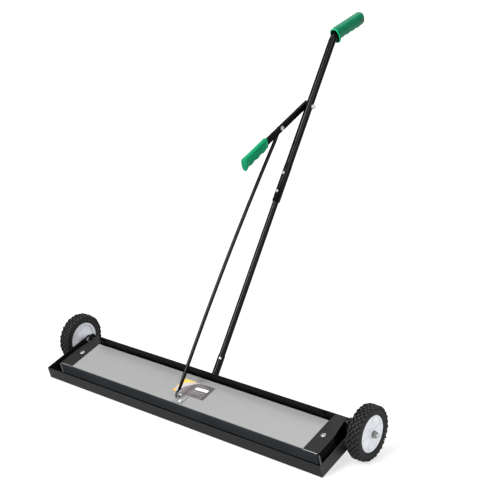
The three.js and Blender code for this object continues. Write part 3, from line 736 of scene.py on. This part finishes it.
def weld_bead(start, end, radius):
    """A rippled bead from start to end."""
    start, end = Vector(start), Vector(end)
    run = (end - start).length
    steps = max(4, round(run / 1.4))
    turn = Vector((1, 0, 0)).rotation_difference(end - start).to_matrix().to_4x4()
    rings = []
    for i in range(steps + 1):
        size = radius * (0.86 + 0.16 * math.cos(i * 2.1) * math.cos(i * 0.37))
        if i in (0, steps):
            size *= 0.4
        ring = [(run * i / steps, size * math.cos(a), size * math.sin(a))
                for a in [2 * math.pi * k / 10 for k in range(10)]]
        rings.append(ring)
    return loft(rings).moved(Matrix.Translation(start) @ turn)


def tray_beads():
    """The beads that hold the right end plate, along the floor and up the front wall."""
    inside = node_span("end_plate_right")[0] - 0.6
    floor = -23.7
    wall = -170.3
    radius = 1.3
    beads = weld_bead((inside, -168, floor), (inside, -14, floor), radius)
    return beads.add(weld_bead((inside, wall, -22), (inside, wall, 9), radius))


def build_tray():
    keep_node("tray_pan", TRAY_COAT, 0.4, 3)
    keep_node("handle_bracket", BLACK, 0.5)
    beads = tray_beads()
    for side, sign in SIDES:
        keep_node(f"end_plate_{side}", BLACK, 0.5)
        keep_node(f"hinge_bracket_{side}", BLACK, 0.4)
        piece(f"tray_weld_{side}", sided(beads, sign), "sweeper_frame", BLACK, angle=60)
        build_hinge_hardware(side, sign)
    bracket = Shape()
    for x in (-15.4, 15.4):
        bracket.add(weld_bead((x, -6.4, -20), (x, -6.4, 12), 1.4))
    piece("bracket_weld", bracket, "sweeper_frame", BLACK, angle=60)


def hinge_bolt():
    """The bolt through the back wall, its head inside the tray."""
    middle = node_middle("hinge_bolt_right")
    wall_face = -11.8
    towards_front = Matrix.Rotation(-math.pi / 2, 4, "Z")
    bolt = hexagon(11.3, 4, 0.8).moved(towards_front).at(middle.x, wall_face, middle.z)
    return bolt.add(aimed(threaded(3, 0, 8.6), (middle.x, wall_face, middle.z), (0, 1, 0)))


def hinge_pin():
    """The shoulder bolt that the carrier turns on, with its nut."""
    low, high = node_span("hinge_pin_right")
    shank = 3
    shoulder = 5
    head = [(0, low), (3.2, low), (3.9, low + 0.9), (3.9, low + 2.1)]
    neck = [(shank, low + 2.2), (shank, low + 4.8), (shoulder, low + 4.9), (shoulder, low + 16.2)]
    end = [(shank, low + 16.3), (shank, high), (0, high)]
    pin = hexagon(10.4, 3.6, 0.7).at(high - 3.7, HINGE.y, HINGE.z)
    return pin.add(revolve([*head, *neck, *end], 32).at(0, HINGE.y, HINGE.z))


def build_hinge_hardware(side, sign):
    bolt = sided(hinge_bolt(), sign)
    pin = sided(hinge_pin(), sign)
    # The bolt head carries painted shade: the deeper black of the shaded back wall.
    piece(f"hinge_bolt_made_{side}", bolt, "sweeper_frame", SHADED_WALL_BLACK,
          [f"hinge_bolt_{side}"])
    piece(f"hinge_pin_made_{side}", pin, "sweeper_frame", BLACKENED, [f"hinge_pin_{side}"])


# ---- magnet carrier ----

def dome_head(radius, height):
    """A round screw head along +X."""
    profile = [
        (0, height), (radius * 0.35, height * 0.97), (radius * 0.68, height * 0.8),
        (radius * 0.9, height * 0.52), (radius, height * 0.24), (radius, 0.1), (radius * 0.96, 0), (0, 0),
    ]
    return revolve(profile, 40)


def build_strap_screws():
    """Dome screws through the straps. Dark bars, a hair proud of the head, are painted shade standing for the
    cross recess.
    """
    middle = node_middle("strap_screw_right")
    seat = PLATE_TOP + GAP
    height = 3.6
    first_turn = 0.35
    head = aimed(dome_head(7.6, height), (middle.x, middle.y, seat), (0, 0, 1))
    head.add(aimed(threaded(2.5, 0, 9.5), (middle.x, middle.y, seat - 9), (0, 0, 1)))
    # Painted shade: dark bars stand for the shadow in each screw's cross recess.
    recess_shade = Shape()
    for turn in (first_turn, first_turn + math.pi / 2):
        bar = block((-3.4, -0.55, height - 0.9), (3.4, 0.55, height + 0.04))
        recess_shade.add(bar.moved(Matrix.Rotation(turn, 4, "Z")).at(middle.x, middle.y, seat))
    for side, sign in SIDES:
        piece(f"strap_screw_made_{side}", sided(head, sign), "magnet_carrier", DARK_ZINC,
              [f"strap_screw_{side}"])
        piece(f"screw_recess_shade_{side}", sided(recess_shade, sign), "magnet_carrier", BLACK)


def clevis_bolt():
    bracket_top = PLATE_TOP + 2 * GAP + 2
    middle = node_middle("clevis_bolt")
    bolt = aimed(hexagon(10.4, 4, 0.8), (middle.x, middle.y, bracket_top), (0, 0, 1))
    return bolt.add(aimed(threaded(3, 0, 12), (middle.x, middle.y, bracket_top - 11.4), (0, 0, 1)))


def clevis_pin():
    """Headed pin along X with a chamfered tip."""
    low, high = node_span("clevis_pin")
    head = [(0, low), (4.4, low), (5, low + 0.6), (5, low + 2), (4.6, low + 2.5)]
    shank = [(3, low + 2.6), (3, high - 0.8), (2.2, high), (0, high)]
    return revolve([*head, *shank], 32).at(0, CLEVIS.y, CLEVIS.z)


def hairpin_clip():
    """Wire clip across the pin's end: one straight leg, a loop and one waved leg."""
    x = LEVER_X + 10
    straight = [(0, -6), (0, 8)]
    loop = [(0.8, 10.6), (2.9, 12), (5, 10.8), (5.8, 8)]
    waved = [(4.6, 4), (4.4, 0), (5.2, -3), (7.4, -5)]
    path = [Vector((x, CLEVIS.y + y, CLEVIS.z + z)) for y, z in [*straight, *loop, *waved]]
    return wire(path, 0.78)


def build_clevis():
    keep_node("clevis_bracket", PLATE, 0.35)
    piece("clevis_bolt_made", clevis_bolt(), "magnet_carrier", ZINC, ["clevis_bolt"])
    piece("clevis_pin_made", clevis_pin(), "magnet_carrier", ZINC, ["clevis_pin"])
    piece("hairpin_made", hairpin_clip(), "magnet_carrier", ZINC, ["hairpin_clip"], 60)


def smooth_path(points):
    """A curve through every point, with extra places between them."""
    per_span = 6
    ends = [points[0] * 2 - points[1], *points, points[-1] * 2 - points[-2]]
    places = []
    for a, b, c, d in zip(ends, ends[1:], ends[2:], ends[3:]):
        for i in range(per_span):
            t = i / per_span
            places.append(0.5 * ((2 * b) + (c - a) * t + (2 * a - 5 * b + 4 * c - d) * t * t
                                 + (3 * b - a - 3 * c + d) * t ** 3))
    return [*places, points[-1]]


def circle(place, ahead, radius, count):
    """A ring of points square to a direction that lies in the (y, z) plane."""
    side = Vector((1, 0, 0))
    up = side.cross(ahead)
    turns = [2 * math.pi * i / count for i in range(count)]
    return [place + radius * (math.cos(turn) * side + math.sin(turn) * up) for turn in turns]


def rings_along(path, radius, count):
    """Rings square to a path that stays in one (y, z) plane."""
    rings = []
    for i, place in enumerate(path):
        ahead = (path[min(i + 1, len(path) - 1)] - path[max(i - 1, 0)]).normalized()
        rings.append(circle(place, ahead, radius, count))
    return rings


def wire(path, radius):
    return loft(rings_along(smooth_path(path), radius, 12))


def build_label():
    """A generic sticker: dark ground, amber corners, a pale swoosh, one plain bar and two thin rules."""
    low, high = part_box("label")
    top = PLATE_TOP + 2 * GAP + 0.3
    left, right = low.x / MM, high.x / MM
    front, back = -97, -40
    ground = sheet_of([(left, front), (right, front), (right, back), (left, back)], PLATE_TOP + GAP, top)
    dark = printed_vinyl("label_dark", (0.13, 0.11, 0.115), (0.045, 0.042, 0.045), 16)
    piece("label_ground", ground, "magnet_carrier", dark, ["label"])
    sweep = [(46, back), (33, back - 5), (18, back - 12), (8, back - 24), (0, back - 41)]
    sweep = [(left + x, y) for x, y in sweep]
    corner = [(left, front + 12), (left + 6, front + 8), (left + 14, front)]
    inks = {
        "label_amber": ([(left, back), *sweep],
                        printed_vinyl("label_amber", (0.8, 0.45, 0.06), (0.7, 0.36, 0.05))),
        "label_corner": ([(left, front), *reversed(corner)],
                         printed_vinyl("label_orange", (0.72, 0.36, 0.05), (0.64, 0.3, 0.04))),
        "label_swoosh": ([*sweep, *corner, (left + 24, front), (left + 18, front + 14),
                          (left + 24, back - 30), (left + 40, back - 13), (left + 60, back)],
                         printed_vinyl("label_swoosh", (0.42, 0.4, 0.4), (0.3, 0.28, 0.29))),
        "label_edge": ([(right - 9, front), (right, front), (right, back), (right - 42, back),
                        (right - 40, back - 5), (right - 9, back - 8)],
                       printed_vinyl("label_edge", (0.05, 0.047, 0.05), (0.032, 0.03, 0.032))),
        "label_bar": ([(4, -67.5), (48, -65), (47.5, -55.5), (5, -58)],
                      printed_vinyl("label_white", (0.8, 0.8, 0.81), (0.72, 0.72, 0.74))),
        "label_rule_upper": ([(-2, -76), (40, -74), (40, -73), (-2, -75)],
                             printed_vinyl("label_rule", (0.4, 0.39, 0.4), (0.3, 0.29, 0.3))),
        "label_rule_lower": ([(-6, -83), (34, -81), (34, -80), (-6, -82)],
                             printed_vinyl("label_rule_low", (0.32, 0.31, 0.32), (0.25, 0.24, 0.25))),
    }
    for level, (name, (outline, ink)) in enumerate(inks.items()):
        film = sheet_of(outline, top + 0.01, top + 0.04 + 0.02 * level)
        piece(name, film, "magnet_carrier", ink)


def build_painted_highlights():
    """Painted highlights of bright metal on the front lips, and along the ends of the front panel's top edge,
    where the bends catch the light.
    """
    lip_low = 482.2
    lip_high = node_span("carrier_arm_right")[1]
    front = CARRIER_FRONT + GAP
    lip = block((lip_low, front - 0.12, -19.8), (lip_high, front + 0.1, PLATE_TOP - 3.2))
    edge = block((PLATE_HALF + 1, CARRIER_FRONT + 0.2, PLATE_TOP),
                 (478.8, CARRIER_FRONT + SHEET - 0.2, PLATE_TOP + 0.08))
    for side, sign in SIDES:
        for name, shape in (("lip_highlight", lip), ("panel_edge_highlight", edge)):
            piece(f"{name}_{side}", sided(shape, sign), "magnet_carrier", PAINTED_HIGHLIGHT)


def build_carrier():
    keep_node("carrier_channel", CARRIER, 0.4)
    keep_node("top_plate", PLATE, 0.4)
    keep_node("magnet_yoke", ZINC, 0.4)
    for i in range(MAGNETS):
        keep_node(f"magnet_{i + 1}", FERRITE, 0.8)
    for side, _ in SIDES:
        keep_node(f"carrier_arm_{side}", STRAP, 0.5)
    build_strap_screws()
    build_clevis()
    build_label()
    build_painted_highlights()


# ---- handle ----

def handle_line():
    """The handle's axis as (a point on it, its direction), from the socket pin and the lever's pivot."""
    start = Vector((0, SOCKET_PIN.y, SOCKET_PIN.z))
    end = Vector((0, PIVOT.y, PIVOT.z))
    return start, (end - start).normalized()


HANDLE_START, HANDLE_WAY = handle_line()
HANDLE_ANGLE = math.atan2(HANDLE_WAY.z, HANDLE_WAY.y)


def on_handle(y):
    return HANDLE_START + HANDLE_WAY * ((y - HANDLE_START.y) / HANDLE_WAY.y)


def on_grip(y):
    corner = on_handle(BEND_Y)
    return Vector((0, y, corner.z - math.tan(GRIP_DROOP) * (y - BEND_Y)))


def spoke(angle):
    return Vector((0, -math.sin(angle), math.cos(angle)))


def bend_path():
    """The handle's bend, from its own slope down to the grip's."""
    count = 20
    turn = HANDLE_ANGLE + GRIP_DROOP
    reach = BEND_RADIUS * math.tan(turn / 2)
    last = on_grip(BEND_Y + reach * math.cos(GRIP_DROOP))
    centre = last - BEND_RADIUS * spoke(-GRIP_DROOP)
    return [centre + BEND_RADIUS * spoke(HANDLE_ANGLE - turn * i / count) for i in range(count + 1)]


def hollow(path, outer, inner):
    """A tube of one bore along a path, open at both ends."""
    outside = rings_along(path, outer, TUBE_SIDES)
    inside = rings_along(path, inner, TUBE_SIDES)
    return tube([*outside, *reversed(inside)])


def swaged_neck():
    """The upper tube's widened lower end, which takes the lower tube."""
    start, end = SWAGE_SPAN
    profile = ((start, SWAGE - 0.5), (start + 1, SWAGE), (end - 8, SWAGE), (end, UPPER_TUBE + 0.02),
               (end, LOWER_TUBE + GAP), (start, LOWER_TUBE + GAP))
    return tube([circle(on_handle(y), HANDLE_WAY, radius, TUBE_SIDES) for y, radius in profile])


def build_tubes():
    upper_path = [on_handle(SWAGE_SPAN[1] - 4), *bend_path(), on_grip(GRIP_MOUTH + GRIP_LENGTH - 26)]
    lower_path = [on_handle(y) for y in LOWER_SPAN]
    socket_path = [on_handle(y) for y in SOCKET_SPAN]
    tubes = {
        "upper_tube": hollow(upper_path, UPPER_TUBE, UPPER_TUBE - 1.5).add(swaged_neck()),
        "lower_tube": hollow(lower_path, LOWER_TUBE, LOWER_TUBE - 1.3),
        "socket_tube": hollow(socket_path, SOCKET, LOWER_TUBE + GAP),
    }
    for name, shape in tubes.items():
        piece(f"{name}_made", shape, "sweeper_frame", ENAMEL, [name], 40)


def joint_bolt(y, radius, turn):
    """Bolt square through the handle with a round head in front and a nut behind."""
    front = Matrix.Rotation(turn, 4, HANDLE_WAY) @ spoke(HANDLE_ANGLE)
    face = radius + GAP
    place = on_handle(y)
    head = revolve([(0, 3), (2, 2.9), (3.6, 2.2), (4.5, 0.9), (4.5, 0), (0, 0)], 32)
    bolt = aimed(head, place + front * face, front)
    bolt.add(aimed(hexagon(8.6, 4, 0.7), place - front * face, -front))
    bolt.add(aimed(threaded(2.5, -face - 0.5, face + 6), place, -front))
    return bolt


def build_joint_bolts():
    lower_y, lower_turn = LOWER_JOINT
    bolts = {"lower_joint_bolt": (joint_bolt(lower_y, SOCKET, lower_turn), DULL_ZINC)}
    for i, y in enumerate(UPPER_JOINTS):
        bolts[f"upper_joint_bolt_{i + 1}"] = (joint_bolt(y, SWAGE, 0), ZINC)
    for name, (bolt, metal) in bolts.items():
        piece(f"{name}_made", bolt, "sweeper_frame", metal, [name])


def socket_pin():
    """Cross pin through the handle bracket, with a head at one end and a peened washer at the other."""
    low, high = node_span("socket_pin")
    shank = 3
    head = 5.4
    near = [(0, low), (4.4, low + 0.1), (head, low + 1), (head, low + 3.2), (shank, low + 3.3)]
    far = [(shank, high - 2.4), (head, high - 2.3), (head, high - 0.8), (4.4, high), (0, high)]
    return revolve([*near, *far], 32).at(0, SOCKET_PIN.y, SOCKET_PIN.z)


def pivot_bolt():
    """The lever's bolt through the upper tube: a hexagon head, a shank and an acorn nut."""
    low, high = node_span("pivot_bolt")
    face = UPPER_TUBE + GAP
    dome = high - face
    nut_turn = Matrix.Rotation(0.3, 4, "X")
    acorn = [(0, 4), (5.9, 4), (5.9, 5.6), (5.4, 7.6), (4, 9.3), (2.1, dome - 0.3), (0, dome)]
    bolt = hexagon(12, 4, 0.8).moved(ABOUT).at(low + 4, 0, 0)
    bolt.add(hexagon(12.9, 5.5, 0.6).moved(nut_turn).at(face, 0, 0))
    bolt.add(revolve(acorn, 32).at(face, 0, 0))
    bolt.add(revolve([(0, low + 3), (3, low + 3), (3, face + 1), (0, face + 1)], 24))
    return bolt.at(0, PIVOT.y, PIVOT.z)


def build_handle_hardware():
    build_joint_bolts()
    piece("socket_pin_made", socket_pin(), "sweeper_frame", ZINC, ["socket_pin"])
    piece("pivot_bolt_made", pivot_bolt(), "sweeper_frame", DULL_ZINC, ["pivot_bolt"])


def oval(y, half_width, top, bottom, centre, lean, dents=()):
    """A rounded oval ring across Y. Each dent is (angle, width, depth), a groove seen in section."""
    count = 96
    squareness = 0.85
    ring = []
    for i in range(count):
        angle = 2 * math.pi * i / count
        cosine, sine = math.cos(angle), math.sin(angle)
        across = math.copysign(abs(cosine) ** squareness, cosine)
        up = math.copysign(abs(sine) ** squareness, sine)
        shrink = 1.0
        for middle, width, depth in dents:
            away = (angle - middle + math.pi) % (2 * math.pi) - math.pi
            shrink -= depth * math.exp(-(away / width) ** 2)
        rise = (top if up > 0 else bottom) * up * shrink
        ring.append(Vector((half_width * across * shrink, y - lean * rise, centre + rise)))
    return ring


def hanging_slot_shade():
    """Painted shade for the hanging slot: a thin dark patch that follows the grip's +X side."""
    middle = GRIP_LENGTH - 23
    power = 2.35
    rings = []
    for z, half in ((-9, 2), (-7.5, 4), (-4, 5), (0, 5), (3, 4.6), (5, 3.4), (6, 1.6)):
        height = 22 if z > 0 else 19.5
        out = 15.72 * (1 - (abs(z) / height) ** power) ** (1 / power)
        near, far = middle - half, middle + half
        rings.append([(out - 1, near, z), (out, near, z), (out, far, z), (out - 1, far, z)])
    return loft(rings)


GRIP_DROP = -4.7
MOUTH_LEAN = 0.2


def grip_mouth():
    """The grip's bore and its thick mouth, from the inside out, as rings."""
    bore = UPPER_TUBE + GAP
    drop = GRIP_DROP
    lean = MOUTH_LEAN
    return [
        oval(GRIP_LENGTH - 20, bore, bore, bore, 0, 0), oval(34, bore, bore, bore, 0, 0),
        oval(16, 13.4, 16.5, 16.5, 0, 0), oval(2, 13.8, 20.3, 20.3, drop, lean),
        oval(-0.2, 14.2, 21, 21, drop, lean), oval(-0.9, 15.2, 22.4, 22.4, drop, lean),
        oval(-0.2, 16.3, 23.6, 23.6, drop, lean), oval(1.4, 16.8, 24.1, 24.1, drop, lean),
        oval(4, 16.8, 24.1, 24.1, drop, lean), oval(6.4, 16.4, 23.2, 23.2, drop * 0.8, 0.16),
        oval(9, 15.9, 22, 21.6, drop * 0.4, 0.12), oval(12, 15.6, 21.5, 19, 0, 0),
    ]


def grip_handhold():
    """Rings along the grip with four finger waves below and a moulding seam on each side."""
    waves = 4
    steps = 72
    seams = [(side, 0.035, 0.012) for side in (0, math.pi)]
    rings = []
    for i in range(1, steps + 1):
        along = i / steps
        finger = 1 - math.cos(2 * math.pi * waves * along)
        y = 13 + along * (GRIP_LENGTH - 34)
        rings.append(oval(y, 15.6, 21.5 + 0.6 * along, 18.1 + finger + along, 0, 0, seams))
    return rings


def grip_end():
    """Rings that round off the grip's closed end."""
    ends = ((16, 15.6, 22, 19.3), (12, 15.5, 21.8, 19.2), (8, 14.9, 20.8, 18.4), (5, 14, 19.4, 17.4),
            (2.6, 12.4, 17, 15.4), (1, 9.8, 13.2, 12.2), (0.2, 7, 9.6, 9))
    return [oval(GRIP_LENGTH - inset, half, top, bottom, 0, 0) for inset, half, top, bottom in ends]


def mouth_lit_lip():
    """A thin bright skin on the mouth's rim: a painted highlight where light falls on the rim."""
    profile = ((-0.3, 14.2, 21), (-1, 15.2, 22.4), (-0.3, 16.35, 23.65), (1.2, 16.9, 24.15),
               (1.3, 14.2, 21))
    return tube([oval(y, half, height, height, GRIP_DROP, MOUTH_LEAN) for y, half, height in profile])


def build_main_grip():
    """Dipped grip: thick leaning mouth with a painted highlight on its rim, finger waves, a rounded end, and
    painted shade where its hanging slot is.
    """
    place = Matrix.Translation(on_grip(GRIP_MOUTH)) @ Matrix.Rotation(-GRIP_DROOP, 4, "X")
    grip = loft([*grip_mouth(), *grip_handhold(), *grip_end()]).moved(place)
    piece("main_grip_made", grip, "sweeper_frame", GREEN, ["main_grip"], 50)
    # Painted shade: a dark patch stands for the shade inside the hanging slot.
    slot = hanging_slot_shade()
    piece("grip_slot_shade", slot.add(slot.mirrored()).moved(place), "sweeper_frame", BLACK_NYLON_AND_SHADE)
    piece("grip_lit_lip", mouth_lit_lip().moved(place), "sweeper_frame", LIT_LIP_GREEN, angle=50)


# ---- release lever: its grip is drawn along -Y from a pivot at the origin ----

LEVER = Matrix.Translation(Vector((0, PIVOT.y, PIVOT.z))) @ Matrix.Rotation(LEVER_DROP, 4, "X")


def lever_grip():
    """Sleeve with grooves along its sides, three finger waves below and a thick rolled end."""
    start, end = LEVER_GRIP
    lean = -0.2
    middle = 1
    inner = LEVER_HALF + GAP
    rings = [
        oval(end + 24, inner - 0.4, 9.8, 6.8, 0, 0), oval(start + 4, inner - 0.3, 10.4, 7.4, 0, lean),
        oval(start, 8.2, 14.4, 14.2, middle, lean), oval(start - 0.6, 8.9, 15.4, 15.2, middle, lean),
        oval(start - 3, 9.7, 16.1, 15.9, middle, lean),
    ]
    grooves = [base + offset for base in (0, math.pi) for offset in (-0.5, 0, 0.5)]
    waves = 3
    steps = 60
    for i in range(1, steps + 1):
        along = i / steps
        finger = 1.6 * (1 - math.cos(2 * math.pi * waves * along))
        y = start - 5 - along * (start - end - 20)
        depth = 0.3 * min(1, along * 8, (1 - along) * 8)
        dents = [(angle, 0.09, depth) for angle in grooves]
        rings.append(oval(y, 9.9, 16.1, 15.6 + finger + along, middle, lean, dents))
    ends = ((9, 10.4, 16.8, 18.6, 0.7), (6.5, 10.8, 17.3, 20.2, 0.3), (4, 10.9, 17.5, 20.8, 0),
            (1.8, 10.5, 17, 20.3, -0.1), (0.6, 9.6, 16, 19.2, -0.2), (0, 7.6, 13.6, 16.6, -0.2))
    for inset, half_width, top, bottom, centre in ends:
        rings.append(oval(end + inset, half_width, top, bottom, centre, lean))
    return loft(rings)


def rod_bolt():
    low, high = node_span("rod_bolt")
    bolt = hexagon(12.6, 4, 0.8).at(high - 4, 0, 0)
    bolt.add(threaded(3, low, high - 3))
    return bolt.at(0, ROD_BOLT.y, ROD_BOLT.z)


def rod_nut():
    thickness = 4.5
    seat = node_span("rod_nut")[0] + thickness
    return hexagon(12, thickness, 0.8).moved(ABOUT).at(seat, ROD_BOLT.y, ROD_BOLT.z)


def build_lever():
    keep_node("lever_bar", LEVER_BLACK, 0.5)
    grip = lever_grip().at(LEVER_X, 0, 0).moved(LEVER)
    piece("lever_grip_made", grip, "release_lever", BRIGHT_GREEN, ["lever_grip"], 50)
    piece("rod_bolt_made", rod_bolt(), "release_lever", DULL_ZINC, ["rod_bolt"])
    piece("rod_nut_made", rod_nut(), "release_lever", ZINC, ["rod_nut"])


# ---- lift rod ----

def rod_stations(length):
    """Places along the rod as (distance, half thickness, half width), flat at both ends."""
    radius = 5.4
    eye = 5.3
    neck = 42
    spans = 24
    tip = [(-eye, 1.4, 1.2), (-4.8, 2.2, 2.3), (-3.6, 2.8, 3.8), (-1.8, 2.9, 4.9), (0, 2.9, eye),
           (24, 2.9, 5.9), (32, 4, 5.8)]
    middle = [(neck + (length - 2 * neck) * i / spans, radius, radius) for i in range(spans + 1)]
    return [*tip, *middle, *[(length - d, a, b) for d, a, b in reversed(tip)]]


def build_rod():
    """Round bar with a slight bow, pressed flat at both ends."""
    foot = Vector((0, CLEVIS.y, CLEVIS.z))
    line = Vector((0, ROD_BOLT.y, ROD_BOLT.z)) - foot
    length = line.length
    way = line.normalized()
    out = Vector((0, -way.z, way.y))
    bow = 24.4
    sides = 32
    rings = []
    for distance, half_thickness, half_width in rod_stations(length):
        t = distance / length
        centre = foot + way * distance + out * (2 * bow * t * (1 - t))
        tilt = math.atan(2 * bow * (1 - 2 * t) / length)
        side = Matrix.Rotation(tilt, 3, "X") @ out
        ring = []
        for i in range(sides):
            angle = 2 * math.pi * i / sides
            point = centre + side * (half_width * math.sin(angle))
            ring.append((LEVER_X + half_thickness * math.cos(angle), point.y, point.z))
        rings.append(ring)
    piece("lift_rod_made", loft(rings), "lift_rod", ENAMEL, ["lift_rod"], 50)


# ---- studio ----

def floor_material():
    """Plain pale floor. It glows a little, like a lit table, which keeps the shadows light."""
    n = Nodes("pale_floor")
    n.set(Specular_IOR_Level=0.1, Emission_Color=(1, 1, 1, 1), Emission_Strength=0.65)
    return n.use(
        Base_Color=n.ramp(n.noise(3, 3), (0.3, (0.25, 0.25, 0.25)), (0.7, (0.265, 0.265, 0.265))),
        Roughness=n.level(n.noise(40, 3), 0.75, 0.85),
    )


def build_floor():
    reach = 60
    below = 0.0003
    mesh = bpy.data.meshes.new("floor")
    work = bmesh.new()
    bmesh.ops.create_grid(work, x_segments=12, y_segments=12, size=reach)
    bmesh.ops.translate(work, verts=work.verts, vec=(0, 0, -below))
    work.to_mesh(mesh)
    work.free()
    mesh.materials.append(floor_material())
    into_scene("floor", mesh)


def build_lights():
    """A dim white sky and four wide suns, as (towards the light, strength, spread in degrees)."""
    world = bpy.data.worlds.new("studio")
    bpy.context.scene.world = world
    world.use_nodes = True
    sky = world.node_tree.nodes["Background"]
    sky.inputs["Color"].default_value = (1, 1, 1, 1)
    sky.inputs["Strength"].default_value = 0.3

    suns = {
        "key": ((-0.2, -0.75, 0.63), 4.0, 22),
        "top": ((-0.3, -0.5, 1.5), 1.2, 30),
        "fill": ((1.2, -0.5, 0.9), 1.6, 40),
        "back": ((-0.3, 0.9, 1.2), 1.6, 50),
    }
    for name, (towards, strength, spread) in suns.items():
        light = bpy.data.lights.new(name, "SUN")
        light.energy = strength
        light.angle = math.radians(spread)
        lamp = into_scene(name, light)
        lamp.rotation_mode = "QUATERNION"
        lamp.rotation_quaternion = Vector(towards).to_track_quat("Z", "Y")


def build_camera():
    """The picture's viewpoint: to the right of the front and a little above, from about three metres."""
    azimuth = math.radians(39.08)
    elevation = math.radians(16.39)
    distance = 3.235
    data = bpy.data.cameras.new("camera")
    data.lens = 81.9
    data.sensor_width = 36
    data.clip_end = 200
    axle_y = TRAY.translation.y
    target = Vector((-0.0031, axle_y + 0.1657, 0.4433))
    level = math.cos(elevation)
    offset = Vector((math.sin(azimuth) * level, -math.cos(azimuth) * level, math.sin(elevation)))
    camera = into_scene("camera", data)
    camera.location = target + offset * distance
    camera.rotation_mode = "QUATERNION"
    camera.rotation_quaternion = offset.to_track_quat("Z", "Y")
    bpy.context.scene.camera = camera
    bpy.context.scene.view_settings.view_transform = "Standard"


build_tray()
build_wheels()
build_axles()
build_carrier()
build_tubes()
build_handle_hardware()
build_main_grip()
build_lever()
build_rod()
build_floor()
build_lights()
build_camera()
